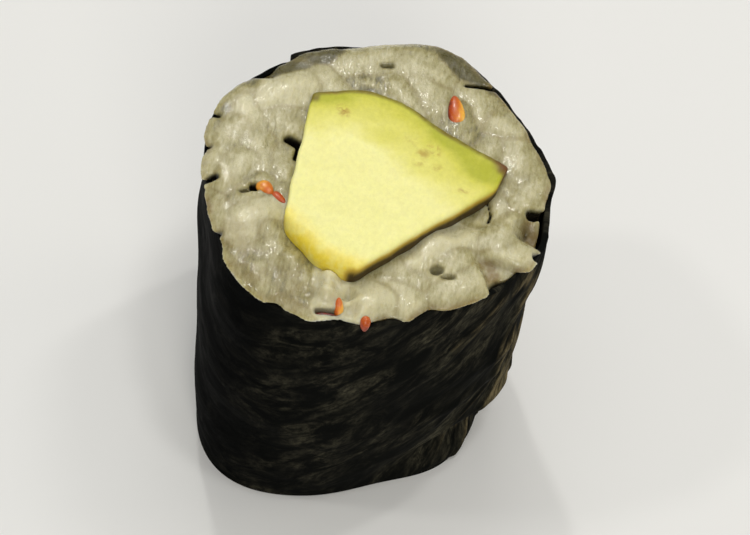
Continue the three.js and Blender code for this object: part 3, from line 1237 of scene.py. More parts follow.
@dataclass
class AvocadoWedge:
    """The avocado wedge that runs through the roll, standing proud of the rice at the front."""

    shape: RollShape
    steps: int = 320
    side_rows: int = 56
    face_rows: int = 76
    clearance: float = 0.1
    skin_side: EdgeRun = EdgeRun(0, 4, 0.8)
    tip: EdgeRun = EdgeRun(4, 5, 0.4)
    cut_side: EdgeRun = EdgeRun(5, 7, 0.75)
    stone_side: EdgeRun = EdgeRun(7, 9, 1.8)
    left_side: EdgeRun = EdgeRun(9, 10, 0.35)
    run_blend: float = 0.3
    run_power: float = -4.0
    green_reach: float = 14.5
    green_side: Span = (-6.0, 12.0)
    pale_side: float = 0.35
    under_face: Span = (0.15, 1.0)
    stone_share: float = 0.85
    stone_reach: Span = (3.0, 0.2)
    stone_under: Span = (2.4, 0.8)
    cut_reach: Span = (1.5, 0.4)
    cut_depth: Span = (0.0, 1.5)
    line_share: float = 0.85
    line_inset: Span = (1.25, 0.7)
    line_reach: Span = (2.2, 1.5)
    skin_reach: Span = (1.5, 0.2)
    skin_depth: Span = (0.02, 0.5)
    tip_x: float = 13.9
    tip_y: float = 3.6
    tip_reach: Span = (2.3, 0.6)
    relief_inset: Span = (0.1, 1.4)
    side_foot: float = 1.5
    side_ripple: float = 0.1
    side_ripple_size: tuple[float, float, float] = (2.2, 2.2, 6.0)
    knife_way: Span = (0.94, 0.34)
    knife_ripple: float = 0.04
    knife_ripple_size: tuple[float, float, float] = (9.0, 1.7, 1.0)
    lump: float = 0.08
    lump_size: float = 4.2
    crowding: float = 1.6
    flecks: tuple[Mark, ...] = (
        Mark(-4.8, 7.2, 1.0, 0.9, 1.4, -60),
        Mark(4.5, 3.1, 1.1, 0.7),
        Mark(5.6, 3.9, 1.0, 0.75, 1.6, -60),
        Mark(4.2, 1.6, 1.0, 0.35),
        Mark(6.2, 1.3, 0.9, 0.4),
        Mark(3.0, 4.6, 1.3, 0.25),
        Mark(9.4, -1.3, 0.7, 0.6, 1.5, 10),
        Mark(-6.6, 9.8, 1.0, 0.6, 1.6, 10),
    )
    ripe: tuple[Mark, ...] = (
        Mark(-0.6, 4.4, 2.0, 0.25, 1.8, 10),
        Mark(11.3, 2.3, 3.4, 0.55, 1.3, -25),
        Mark(8.0, 5.5, 2.0, 0.35, 2.5, -28),
        Mark(-6.5, 9.5, 3.2, 0.3, 1.5, 10),
    )

    def edge_radius(self, plan: Array) -> Array:
        """How round the top edge is near each point: the runs' radii, each weighted by nearness.

        Args:
            plan: array of (..., 2) points.

        Returns:
            The radius for each point.
        """
        total = np.zeros(plan.shape[:-1])
        weights = np.zeros(plan.shape[:-1])
        for run in (self.skin_side, self.tip, self.cut_side, self.stone_side, self.left_side):
            far = self.shape.corner_distance(plan, run.first, run.last)
            weight = (far + self.run_blend) ** self.run_power
            total += weight * run.radius
            weights += weight
        return total / weights

    def build(self) -> bpy.types.Object:
        """Stacks the outline up the sides, then draws it in over the rounded edge and the face.

        Returns:
            The wedge's object, dressed.
        """
        s = self.shape
        outline = s.wedge_outline(self.steps)
        step = np.roll(outline, -1, axis=0) - np.roll(outline, 1, axis=0)
        out = np.stack([step[:, 1], -step[:, 0]], axis=-1) / np.linalg.norm(step, axis=1)[:, None]
        top = s.wedge_top(outline[:, 1]) - self.edge_radius(outline)
        z = np.linspace(0.0, 1.0, self.side_rows)[:, None] * top[None, :]
        side = np.concatenate([outline[None] * s.wedge_scale(z)[..., None], z[..., None]], axis=-1)
        ripple = self.side_ripple * layered_noise(side, self.side_ripple_size, Pattern.WEDGE_SIDE, 2)
        ripple = ripple * ease(z, 0.0, self.side_foot)
        side[..., :2] -= out[None] * (self.clearance + ripple)[..., None]
        rim = side[-1]
        middle = np.array([*rim[:, :2].mean(axis=0), 0.0])
        inward = np.linspace(0.0, 1.0, self.face_rows + 1)[1:-1] ** self.crowding
        face = rim[None] + (middle - rim)[None] * inward[:, None, None]
        face[..., 2] = self.face_height(face[..., :2], rim[:, :2])
        points, faces = closed_stack(np.concatenate([side, face]))
        return make_piece(
            "avocado_flesh",
            points,
            faces,
            s,
            AvocadoFinish().material(),
            "avocado_wedge",
            self.values(points),
        )

    def face_height(self, plan: Array, rim: Array) -> Array:
        """Height of the cut face: the knife's slope less a quarter round at the edge, with ripples.

        Args:
            plan: array of (..., 2) points.
            rim: array of (steps, 2), the outline that the side ends in.

        Returns:
            The height of each point.
        """
        far = runs_distance(plan, rim, np.roll(rim, -1, axis=0))
        radius = self.edge_radius(plan)
        short = np.clip(radius - far, 0.0, None)
        fall = radius - np.sqrt(np.clip(radius * radius - short * short, 0.0, None))
        level = level_points(plan)
        right, back = self.knife_way
        along = level @ np.array([[right, -back, 0.0], [back, right, 0.0], [0.0, 0.0, 1.0]])
        ripple = layered_noise(along, self.knife_ripple_size, Pattern.KNIFE_RIPPLE, 2)
        lumps = layered_noise(level, self.lump_size, Pattern.FLESH_LUMPS, 3)
        relief = self.knife_ripple * ripple + self.lump * lumps
        return self.shape.wedge_top(plan[..., 1]) - fall + ease(far, *self.relief_inset) * relief

    def values(self, points: Array) -> dict[str, Array]:
        """The colour values: how near each point lies to the peel, the stone and the edges.

        Peel is how green the flesh is, stone the yellow browning where the stone lay, fleck the
        brown specks, cut the side that the knife left, browned and with painted shade, skin the line
        under the peel, partly painted shade along the rounded back edge, and tip the browned point.

        Args:
            points: array of (count, 3).

        Returns:
            The point values by name, each 0 to 1.
        """
        s = self.shape
        plan = points[:, :2] / s.wedge_scale(points[:, 2])[:, None]
        skin_far = s.corner_distance(plan, self.skin_side.first, self.skin_side.last)
        pale = 1.0 + self.pale_side * (1.0 - ease(plan[:, 0], *self.green_side))
        peel = np.clip(1.0 - skin_far / self.green_reach * pale, 0.0, 1.0)
        for mark in self.ripe:
            peel = np.clip(peel + mark.share(plan) * (1.0 - 0.5 * peel), 0.0, 1.0)
        depth = s.wedge_top(plan[:, 1]) - points[:, 2]
        under = ease(depth, *self.under_face)
        stone_far = s.corner_distance(plan, self.stone_side.first, self.stone_side.last)
        browned = self.stone_share * ease(stone_far, *self.stone_reach)
        stone = blend(browned, ease(stone_far, *self.stone_under), under)
        fleck = np.zeros(len(points))
        for mark in self.flecks:
            fleck = np.maximum(fleck, mark.share(plan))
        # The knife's side: browning with painted shade, deeper lower down.
        cut_far = s.corner_distance(plan, self.tip.first, self.cut_side.last)
        cut = ease(cut_far, *self.cut_reach) * ease(depth, *self.cut_depth)
        # A band over the rounded back edge: partly the line under the peel, partly painted shade.
        line = self.line_share * ease(-s.wedge_distance(plan, 1.0), *self.line_inset)
        line = line * ease(skin_far, *self.line_reach)
        skin = ease(skin_far, *self.skin_reach) * ease(depth, *self.skin_depth)
        skin = np.maximum(skin, line)
        tip_far = np.hypot(plan[:, 0] - self.tip_x, plan[:, 1] - self.tip_y)
        tip = ease(tip_far, *self.tip_reach)
        return {"peel": peel, "stone": stone, "fleck": fleck, "cut": cut, "skin": skin, "tip": tip}


# ---------------------------------------------------------------- rice


class Face(Enum):
    """Which cut face a layer of rice belongs to."""

    TOP = "top"
    BASE = "base"


# A grain's round ends and how much they narrow, and the width of its milky middle, all as shares
# of its own sizes.
GRAIN_END = 0.42
GRAIN_END_STRETCH = 1.15
GRAIN_NARROWING = 0.18
GRAIN_CORE = 0.3


@dataclass(frozen=True)
class Grain:
    """One cooked grain: where its middle is, which way it points and leans, and its size.

    Its height z counts from its face's level: less than 0 is inside the roll at the top face. The
    tone is how milky it is, and the stick how far its creases with other grains are filled. The
    bend is how much it curves, and the roll how far it is turned about its own length.
    """

    x: float
    y: float
    z: float
    turn: float
    lean: float = 0.0
    length: float = 6.0
    width: float = 2.9
    thick: float = 2.5
    tone: float = 0.5
    stick: float = 0.5
    bend: float = 0.03
    roll: float = 0.0

    def axes(self) -> Array:
        """The grain's own directions.

        Returns:
            Three rows: along the grain, across it, and through its flat side.
        """
        turn, lean, roll = np.radians([self.turn, self.lean, self.roll])
        along = np.array([np.cos(lean) * np.cos(turn), np.cos(lean) * np.sin(turn), np.sin(lean)])
        level = np.array([-np.sin(turn), np.cos(turn), 0.0])
        upper = np.cross(along, level)
        across = np.cos(roll) * level + np.sin(roll) * upper
        return np.stack([along, across, np.cross(along, across)])

    def spine(self) -> Array:
        """Three points along the grain, for keeping grains apart."""
        share = np.array([-0.3, 0.0, 0.3])[:, None]
        return np.array([self.x, self.y, self.z]) + share * self.length * self.axes()[0]

    def local(self, points: Array) -> tuple[Array, Array, Array]:
        """Places along the grain, across its bent middle line and through it."""
        place = (points - np.array([self.x, self.y, self.z])) @ self.axes().T
        return place[..., 0], place[..., 1] + self.bend * place[..., 0] ** 2, place[..., 2]

    def distance(self, points: Array) -> Array:
        """Roughly how far points lie outside the grain, negative inside.

        The grain is a bent, flattened bar with round ends that narrows a little towards them.
        With q the place divided by the half sizes and k0 = |q|, k1 = |q / half sizes|, the
        distance is k0 (k0 - 1) / k1.

        Args:
            points: array of (..., 3), with heights from the face's level.

        Returns:
            The distance of each point.
        """
        u, v, w = self.local(points)
        end = GRAIN_END * self.width
        reach = 0.5 * self.length - end
        along = np.clip(np.abs(u) / (0.5 * self.length), 0.0, 1.0)
        narrow = 1.0 - GRAIN_NARROWING * along**2
        half = np.array([end * GRAIN_END_STRETCH, 0.5 * self.width, 0.5 * self.thick])
        past = np.maximum(np.abs(u) - reach, 0.0)
        q = np.stack([past / half[0], v / (half[1] * narrow), w / (half[2] * narrow)], axis=-1)
        k0 = np.linalg.norm(q, axis=-1)
        k1 = np.linalg.norm(q / half, axis=-1) + 1e-6
        return k0 * (k0 - 1.0) / k1

    def core_share(self, points: Array) -> Array:
        """How near points lie to the grain's milky middle line.

        Args:
            points: array of (..., 3), with heights from the face's level.

        Returns:
            1 on the line, falling away across it and towards the grain's ends.
        """
        u, v, _ = self.local(points)
        ends = np.clip(2.0 * np.abs(u) / self.length, 0.0, 1.0) ** 4
        return np.exp(-((v / (GRAIN_CORE * self.width)) ** 2)) * (1.0 - ends)


@dataclass(frozen=True)
class Hollow:
    """A dark gap between grains: a round-ended slot cut into the face, and how much painted shade
    darkens it inside.
    """

    x: float
    y: float
    length: float
    width: float
    turn: float = 0.0
    depth: float = 3.0
    # dark: how much painted shade covers the slot's floor.
    dark: float = 1.0

    def reach(self, plan: Array, height: Array) -> Array:
        """How far points lie inside the slot, which narrows from the face's level to its bottom.

        Args:
            plan: array of (..., 2) points.
            height: height of the points over the face's level.

        Returns:
            The distance inside the slot, negative outside it.
        """
        u, v = turned(plan, self.x, self.y, self.turn)
        slot = np.hypot(np.maximum(np.abs(u) - 0.5 * (self.length - self.width), 0.0), v)
        return 0.5 * self.width * np.clip(1.0 + height / self.depth, -1.0, 1.3) - slot


@dataclass(frozen=True)
class Rise:
    """A stretch of the cut face that lies higher than the rest, or lower where lift is under 0."""

    x: float
    y: float
    reach: float
    lift: float


@dataclass(frozen=True)
class Scallop:
    """A lobe of the rice's rim, or a bay where its depth is under 0. Its reach is in degrees."""

    turn: float
    reach: float
    depth: float


@dataclass
class RiceBed:
    """The sushi rice: real grains pressed together in both cut faces, over a smaller core.

    The grains lie in a paste of rice that fills the gaps between them up to a little below the
    cut. The lip is the rice's rim at the top, where it covers the wrap's edge or leaves it bare.
    """

    shape: RollShape
    voxel: float = 0.185
    layer_depth: float = 3.9
    loose_stick: float = 0.6
    loose_depth: float = 0.95
    loose_apart: float = 2.1
    bore_room: float = 0.5
    wall_room: float = 0.9
    loose_tries: int = 5000
    loose_field: float = 21.5
    loose_size: tuple[float, float, float] = (6.0, 3.0, 2.45)
    loose_vary: tuple[float, float, float] = (0.4, 0.16, 0.12)
    loose_lift: float = 0.1
    loose_lean: float = 8.0
    lean_limit: float = 20.0
    loose_bend: float = 0.03
    loose_roll: float = 60.0
    seed: int = 20
    paste_depth: float = 0.3
    knife_level: float = 0.35
    knife_wave: float = 0.1
    knife_wave_size: float = 3.4
    base_thick: float = 2.6
    top_reach: Span = (21.6, 21.9)
    base_low: tuple[float, float, float] = (-20.6, -22.0, -0.6)
    base_high: tuple[float, float, float] = (19.5, 19.5, 3.2)
    base_foot: float = 0.06
    block_above: float = 1.6
    block_below: float = 0.6
    far_away: float = 4.0
    grain_room: float = 1.1
    wall_press: float = 0.2
    lip_start: float = 0.15
    lip_end: float = 0.35
    wall_round: float = 0.7
    bore_round: float = 0.3
    hollow_round: float = 0.25
    top_round: float = 0.6
    top_paste_join: float = 0.9
    top_paste_wall: float = 0.3
    top_fine: Span = (0.9, 1.5)
    base_round: float = 0.5
    base_paste_join: float = 0.8
    base_paste_wall: float = 1.0
    base_fine: Span = (0.05, 0.6)
    bore_gap: float = 0.12
    placed: tuple[Grain, ...] = (
        Grain(-18.2, -1.9, -1.2, 74, -6, 5.6, 2.7, 2.6, 0.85, 0.3),
        Grain(-18.9, 2.0, -1.3, 88, 4, 5.0, 2.6, 2.5, 0.35, 0.4),
        Grain(-17.3, 7.5, -1.2, 48, -4, 6.6, 2.9, 2.5, -0.1, 0.5),
        Grain(-15.0, -2.6, -0.9, 66, 5, 6.6, 3.1, 2.8, 0.75, 0.5),
        Grain(-15.3, 6.0, -1.0, -70, 5, 5.4, 2.6, 2.5, 1.4, 0.5),
        Grain(-11.4, 9.5, -0.9, 38, 2, 8.6, 3.4, 2.6, 1.4, 0.7),
        Grain(-10.1, -1.0, -1.0, -62, 12, 5.6, 2.9, 2.7, 0.4, 0.4),
        Grain(-10.9, 5.1, -1.0, -38, 6, 5.2, 2.7, 2.5, 0.5, 0.6),
        Grain(-12.9, 0.5, -1.1, -70, 4, 6.4, 2.8, 2.5, 0.5, 0.6),
        Grain(-16.3, 2.8, -1.1, 60, 4, 5.8, 2.8, 2.5, 0.5, 0.6),
        Grain(-12.4, 13.4, -1.3, 24, 0, 6.0, 2.8, 2.3, -1.3, 0.4),
        Grain(-9.4, 15.6, -1.2, 22, 0, 6.0, 2.7, 2.3, -1.3, 0.5),
        Grain(-12.5, -8.9, -0.9, 62, 4, 6.6, 4.2, 3.0, 1.5, 0.45),
        Grain(-13.4, -15.3, -1.6, -45, -8, 9.0, 3.6, 2.6, 0.1, 0.8),
        Grain(-16.3, -8.3, -1.2, -60, 0, 5.6, 3.2, 2.6, 0.6, 0.4),
        Grain(-9.6, -11.3, -0.9, -64, -2, 6.4, 2.7, 2.5, 0.35, 0.6),
        Grain(-10.0, -16.4, -1.3, -74, -6, 6.2, 2.8, 2.5, 0.2, 0.6),
        Grain(-7.0, -14.8, -0.9, -72, -6, 5.6, 2.5, 2.4, 0.25, 0.6),
        Grain(-3.2, -16.3, -0.2, -86, 4, 5.4, 2.3, 2.8, 2.6, 0.1),
        Grain(-5.6, -15.9, -0.9, -75, -4, 5.2, 2.4, 2.4, 0.0, 0.5),
        Grain(1.7, -17.2, -0.6, 50, 4, 6.4, 3.5, 2.8, 1.6, 0.35),
        Grain(5.2, -15.8, -1.0, -36, -4, 6.0, 3.1, 2.6, 1.1, 0.5),
        Grain(-6.4, -19.0, -1.7, -15, 0, 5.6, 2.4, 2.3, 0.4, 0.6),
        Grain(7.4, -8.2, -0.8, 44, 2, 9.0, 3.3, 2.8, 1.3, 0.35),
        Grain(11.8, -2.2, -1.3, 70, 4, 4.2, 2.2, 2.3, 0.45, 0.3),
        Grain(13.4, -2.0, -1.1, -65, 6, 4.4, 2.4, 2.4, 0.6, 0.4),
        Grain(14.2, -4.9, -0.9, 62, 4, 6.4, 4.0, 2.9, 0.6, 0.7),
        Grain(15.4, -8.1, -1.0, 26, -4, 6.6, 3.8, 2.9, 1.0, 0.6),
        Grain(10.9, -12.8, -1.0, 44, 0, 7.8, 3.8, 2.7, 0.8, 0.8),
        Grain(16.6, 1.1, -1.0, 60, 2, 6.0, 3.2, 2.8, 0.6, 0.5),
        Grain(14.8, 6.2, -1.0, -72, 4, 6.4, 3.2, 2.6, 0.65, 0.8),
        Grain(-3.3, 15.8, -1.1, 30, 0, 8.0, 3.4, 2.5, 0.65, 0.9),
        Grain(2.9, 15.7, -1.1, -12, 0, 6.8, 3.4, 2.5, 0.7, 0.9),
        Grain(8.8, 17.3, -1.2, -28, 0, 6.4, 2.8, 2.4, -1.1, 0.4),
        Grain(9.6, 12.1, -1.0, -60, 4, 6.0, 2.9, 2.5, 0.65, 0.6),
        Grain(4.2, 12.6, -1.0, -46, 2, 7.0, 3.4, 2.5, 0.6, 1.0),
        # A small grey grain at the wedge's back edge: partly a glassy grain, partly painted shade there.
        Grain(-2.9, 12.5, -1.2, -4, 0, 4.6, 1.9, 2.2, -0.15, 0.5),
        Grain(12.4, 9.8, -1.0, -20, 4, 6.0, 3.2, 2.6, 0.75, 0.7),
    )
    hollows: tuple[Hollow, ...] = (
        Hollow(-9.6, 2.6, 2.1, 1.2, -25, 3.8),
        Hollow(-8.9, 1.2, 2.4, 0.55, 84, 3.0),
        Hollow(-12.7, -4.5, 1.2, 1.1, -30, 3.0),
        Hollow(-13.6, -5.2, 1.2, 0.5, 20, 0.8, 0.5),
        Hollow(9.8, 15.0, 4.0, 0.7, 8, 3.4),
        Hollow(12.5, -1.5, 1.8, 0.3, -70, 2.4, 0.8),
        Hollow(12.7, -2.8, 1.4, 0.35, 80, 2.4, 0.9),
        Hollow(7.9, -11.3, 1.5, 1.1, 30, 1.7, 0.35),
        Hollow(9.2, -11.9, 1.5, 0.5, 5, 0.7, 0.3),
        Hollow(-17.8, -4.2, 2.6, 0.95, 24, 3.4),
        Hollow(-18.8, 0.2, 1.6, 0.5, 10, 2.6),
        Hollow(-16.0, -11.1, 2.0, 0.6, -8, 2.6),
        Hollow(-18.8, 4.6, 2.0, 0.6, -10, 2.6),
        Hollow(17.8, -1.3, 2.8, 1.1, 13, 3.4),
        Hollow(18.6, -3.5, 4.6, 1.7, 80, 3.2),
        Hollow(16.8, -3.6, 3.6, 2.4, 80, 2.6, 0.4),
        Hollow(14.7, -11.4, 3.0, 2.8, 52, 4.0),
        Hollow(18.4, -6.8, 1.6, 1.0, 40, 3.0),
        Hollow(16.6, 9.2, 2.4, 0.8, -60, 3.0),
        Hollow(-1.0, 15.5, 1.5, 0.6, 10, 0.9, 0.4),
        Hollow(-2.7, -19.0, 2.6, 0.6, 8, 1.2, 0.6),
    )
    rises: tuple[Rise, ...] = (
        Rise(-12.6, -8.8, 4.5, 0.5),
        Rise(11.6, -2.2, 4.0, -1.1),
        Rise(15.5, -7.0, 4.5, 0.4),
        Rise(-11.5, 9.5, 4.5, 0.4),
        Rise(-13.0, 13.5, 3.5, -0.6),
        Rise(9.5, 17.5, 4.5, -0.5),
        Rise(17.2, -3.9, 2.8, -1.6),
        Rise(1.6, -17.0, 3.2, 0.7),
        Rise(-3.1, -15.0, 1.5, 1.3),
        Rise(-3.1, -16.8, 1.5, 1.4),
        Rise(-5.2, -17.2, 1.3, -0.4),
        Rise(-0.8, -16.4, 1.3, -1.1),
        Rise(-0.2, -18.3, 1.3, -0.9),
        Rise(-7.4, -13.2, 2.0, 0.5),
        Rise(9.0, -5.4, 2.4, -0.7),
        Rise(5.0, -9.2, 2.0, -0.35),
    )
    scallops: tuple[Scallop, ...] = (
        Scallop(232, 34, 0.45),
        Scallop(310, 14, 0.15),
        Scallop(247, 4, -0.5),
        Scallop(280, 7, -1.0),
        Scallop(295, 9, -0.9),
        Scallop(258, 9, 0.9),
        Scallop(325, 9, -4.2),
        Scallop(350, 9, -2.6),
        Scallop(140, 6, -1.2),
        Scallop(180, 5, -0.7),
        Scallop(220, 5, -0.4),
    )
    bare_edge_turn: float = 33.0
    bare_edge_reach: float = 62.0
    edge_cover: float = 0.7
    rim_room: float = 1.2
    edge_bare: float = -0.45
    front_fall: float = 1.3
    back_fall: float = 0.45
    fall_start: float = 3.0
    fall_end: float = 0.6
    # How strongly the rim colour darkens the front-left slope, round which direction, and how far round.
    darkening: float = 0.55
    darkening_turn: float = 232.0
    darkening_reach: float = 60.0
    lump: float = 0.04
    lump_size: float = 1.8
    strand: float = 0.025
    strand_size: tuple[float, float, float] = (0.6, 1.4, 0.9)
    shade_reach: float = 5.5
    shade_blur: float = 0.22
    rim_seat: float = 1.0
    core_columns: int = 160
    core_rows: int = 24
    core_foot: float = 1.6
    core_cover: float = 1.0
    core_wall_gap: float = 0.25
    core_bore_gap: float = 0.5
    core_bore_steps: int = 2000
    core_end_rows: int = 6
    core_lump: float = 0.18
    core_lump_size: float = 2.6
    low: Array = field(init=False, default_factory=lambda: np.zeros(3))
    block: Array = field(init=False, default_factory=lambda: np.zeros((0, 0, 0)))

    def level(self, face: Face) -> float:
        """Height of a face's own level."""
        return self.shape.rice_height if face is Face.TOP else 0.0

    def bare(self, angle: Array) -> Array:
        """How far the wrap's edge shows, from 0 where rice covers it to 1 at the right and the back."""
        return arch(angle, self.bare_edge_turn, self.bare_edge_reach, 0.6)

    def lip(self, angle: Array) -> Array:
        """Radius of the rice at the top: out over the wrap's edge, but short of it at the right.

        Args:
            angle: directions in degrees.

        Returns:
            The radius at each.
        """
        s = self.shape
        cover = blend(self.edge_cover, self.edge_bare, self.bare(angle))
        for scallop in self.scallops:
            cover = cover + scallop.depth * arch(angle, scallop.turn, scallop.reach)
        return s.wall_radius(angle, s.rice_height) + cover

    def outer(self, angle: Array, z: Array) -> Array:
        """Radius that grains may reach: inside the wrap below its edge, out to the lip above.

        Args:
            angle: directions in degrees.
            z: heights.

        Returns:
            The radius at each.
        """
        s = self.shape
        inside = s.rice_wall(angle, z) + self.wall_press
        top = s.wrap_top(angle)
        share = ease(z, top - self.lip_start, top + self.lip_end)
        return inside + (self.lip(angle) - inside) * share

    def knife(self, plan: Array) -> Array:
        """Height that the cut leaves: gentle waves and rises, falling away towards the rim.

        Args:
            plan: array of (..., 2) points.

        Returns:
            The height of each point.
        """
        angle, radius = polar(plan)
        rim = self.lip(angle)
        fall = blend(self.front_fall, self.back_fall, self.bare(angle))
        fall = fall * ease(radius, rim - self.fall_start, rim + self.fall_end) ** 2
        waves = layered_noise(level_points(plan), self.knife_wave_size, Pattern.RICE_WAVES, 2)
        height = self.shape.rice_height + self.knife_level + self.knife_wave * waves - fall
        for rise in self.rises:
            far = np.hypot(plan[..., 0] - rise.x, plan[..., 1] - rise.y)
            height = height + rise.lift * ease(1.0 - far / rise.reach)
        return height

    def scatter(self, face: Face) -> list[Grain]:
        """Fills a layer with grains: the placed ones first, then loose ones.

        A loose grain is drawn at random and kept if it lies in the ring and its spine is far
        enough from the spines of the grains that were kept before it.

        Args:
            face: which cut face the grains belong to.

        Returns:
            The grains.
        """
        s = self.shape
        draw = np.random.default_rng(self.seed + (face is Face.BASE))
        grains = list(self.placed) if face is Face.TOP else []
        spines = [grain.spine() for grain in grains]
        depth = -self.loose_depth if face is Face.TOP else self.loose_depth
        place = draw.uniform(-self.loose_field, self.loose_field, (self.loose_tries, 2))
        angle, radius = polar(place)
        height = self.level(face) + depth
        room = s.wedge_distance(place, float(s.wedge_scale(height)))
        wall = s.rice_wall(angle, np.full_like(angle, height))
        reach = self.lip(angle) if face is Face.TOP else wall
        spread = draw.normal(size=(self.loose_tries, 6))
        share = draw.uniform(size=(self.loose_tries, 3))
        lean = np.clip(self.loose_lean * spread[:, 1], -self.lean_limit, self.lean_limit)
        size = np.array(self.loose_size) + np.array(self.loose_vary) * spread[:, 2:5]
        for i in np.flatnonzero((room > self.bore_room) & (radius < reach - self.wall_room)):
            grain = Grain(
                *place[i],
                depth + self.loose_lift * spread[i, 0],
                360.0 * share[i, 0],
                lean[i],
                *size[i],
                share[i, 1],
                self.loose_stick,
                self.loose_bend * spread[i, 5],
                self.loose_roll * (share[i, 2] - 0.5),
            )
            spine = grain.spine()
            held = np.hypot(spine[:, 0], spine[:, 1]).max() < reach[i] - self.rim_room
            if held and self.clear(spine, spines):
                grains.append(grain)
                spines.append(spine)
        return grains

    def clear(self, spine: Array, others: list[Array]) -> bool:
        """Whether a spine keeps its distance from all the others.

        Args:
            spine: array of (3, 3), points along a grain.
            others: the spines of the grains that are kept so far.

        Returns:
            True if it does.
        """
        if not others:
            return True
        gaps = np.linalg.norm(np.concatenate(others)[:, None] - spine[None], axis=-1)
        return float(gaps.min()) > self.loose_apart

    def solid(self, grains: list[Grain], face: Face) -> tuple[Array, Array]:
        """A block of distances to the pressed grains, negative inside them.

        Each grain is joined on with a filled crease, then the block is held inside the wrap,
        kept off the avocado, cut by the knife and opened at the hollows.

        Args:
            grains: the layer's grains.
            face: which cut face it is.

        Returns:
            The block's lowest corner, and the distances.
        """
        s = self.shape
        level = self.level(face)
        low, high = np.array(self.base_low), np.array(self.base_high)
        if face is Face.TOP:
            side, front = self.top_reach
            low = np.array([-side, -front, level - self.layer_depth - self.block_below])
            high = np.array([side, front, level + self.block_above])
        counts = np.ceil((high - low) / self.voxel).astype(int) + 1
        axes = [low[k] + self.voxel * np.arange(counts[k]) for k in range(3)]
        block = np.full(counts, self.far_away)
        for grain in grains:
            middle = np.array([grain.x, grain.y, grain.z + level])
            size = np.array([grain.length, grain.width, grain.thick])
            half = np.abs(grain.axes().T) @ (0.5 * size) + self.grain_room
            first = np.clip(((middle - half - low) / self.voxel).astype(int), 0, counts - 1)
            last = np.clip(((middle + half - low) / self.voxel).astype(int) + 2, 1, counts)
            part = tuple(slice(a, b) for a, b in zip(first, last))
            sides = (axes[k][part[k]] for k in range(3))
            points = np.stack(np.meshgrid(*sides, indexing="ij"), axis=-1)
            far = grain.distance(points - [0.0, 0.0, level])
            block[part] = soft_min(block[part], far, grain.stick)
        plan = np.stack(np.meshgrid(axes[0], axes[1], indexing="ij"), axis=-1)
        angle, radius = polar(plan)
        z = axes[2][None, None, :]
        wall = radius[..., None] - self.outer(angle[..., None], z)
        block = soft_max(block, wall, self.wall_round)
        ends = [s.wedge_distance(plan, float(s.wedge_scale(h))) for h in (low[2], high[2])]
        share = (z - low[2]) / (high[2] - low[2])
        bore = ends[0][..., None] * (1.0 - share) + ends[1][..., None] * share
        block = soft_max(block, self.bore_gap - bore, self.bore_round)
        if face is Face.TOP:
            over = z - self.knife(plan)[..., None]
            paste = np.maximum(over + self.paste_depth, wall + self.top_paste_wall)
            block = soft_max(soft_min(block, paste, self.top_paste_join), over, self.top_round)
            for hollow in self.hollows:
                inside = hollow.reach(plan[..., None, :], z - level)
                block = soft_max(block, inside, self.hollow_round)
            block = np.maximum(block, level - self.layer_depth - z)
        else:
            paste = np.maximum(self.paste_depth - z, wall + self.base_paste_wall)
            block = soft_min(block, paste, self.base_paste_join)
            block = soft_max(block, self.base_foot - z, self.base_round)
            block = np.maximum(block, z - self.base_thick)
        edge = np.ones(counts, dtype=bool)
        edge[1:-1, 1:-1, 1:-1] = False
        block[edge] = np.maximum(block[edge], self.voxel)
        return low, block

    def layer(self, face: Face, finish: bpy.types.Material) -> bpy.types.Object:
        """Makes one cut face's layer of pressed grains, with fine lumps over them.

        Args:
            face: which cut face.
            finish: the rice's material.

        Returns:
            The layer's object, dressed.
        """
        grains = self.scatter(face)
        low, block = self.solid(grains, face)
        start, end = self.base_fine
        if face is Face.TOP:
            self.low, self.block = low, block
            start, end = (low[2] + height for height in self.top_fine)
        volume = openvdb.FloatGrid(self.far_away)
        volume.copyFromArray(block.astype(np.float32))
        places, quads = volume.convertToQuads(isovalue=0.0)
        points = low + places.astype(float) * self.voxel
        lumps = self.lump * layered_noise(points, self.lump_size, Pattern.RICE_LUMPS, 2)
        lumps += self.strand * layered_noise(points, self.strand_size, Pattern.RICE_STRANDS, 2)
        lumps *= ease(points[:, 2], start, end)
        points = points + outward(points, quads) * lumps[:, None]
        LOG.info("%s layer: %d grains", face.value, len(grains))
        return make_piece(
            f"rice_grains_{face.value}",
            points,
            quads,
            self.shape,
            finish,
            "rice_ring",
            self.shades(points, grains, face),
        )

    def shades(self, points: Array, grains: list[Grain], face: Face) -> dict[str, Array]:
        """Each point's grain shade, and how near it lies to a crease, the rim or a hollow's floor, where
        painted shade goes.

        A grain's shade counts for more the nearer the point lies to it.

        Args:
            points: array of (count, 3).
            grains: the layer's grains.
            face: which cut face it is.

        Returns:
            The point values by name. All but the tone lie between 0 and 1.
        """
        nearest, second = np.full((2, len(points)), 9.0)
        tone, core, hollow_shade = np.zeros((3, len(points)))
        weight = np.full(len(points), 1e-3)
        local = points - [0.0, 0.0, self.level(face)]
        for grain in grains:
            away = np.linalg.norm(local - [grain.x, grain.y, grain.z], axis=1)
            near = np.flatnonzero(away < self.shade_reach)
            far = grain.distance(local[near])
            pull = np.exp(-np.clip(far, -0.5, 3.0) / self.shade_blur)
            tone[near] += pull * grain.tone
            core[near] += pull * grain.core_share(local[near])
            weight[near] += pull
            second[near] = np.minimum(second[near], np.maximum(far, nearest[near]))
            nearest[near] = np.minimum(nearest[near], far)
        angle, radius = polar(points)
        inside = self.lip(angle) - radius
        if face is Face.TOP:
            under = self.knife(points[:, :2]) - points[:, 2]
            # Painted shade on the hollows' floors, as strong as each hollow's dark.
            for hollow in self.hollows:
                near = ease(hollow.reach(local[:, :2], local[:, 2]), -0.35, -0.1)
                sunk = ease(under, 0.15, 0.25 + 0.2 * hollow.depth)
                hollow_shade = np.maximum(hollow_shade, hollow.dark * near * sunk)
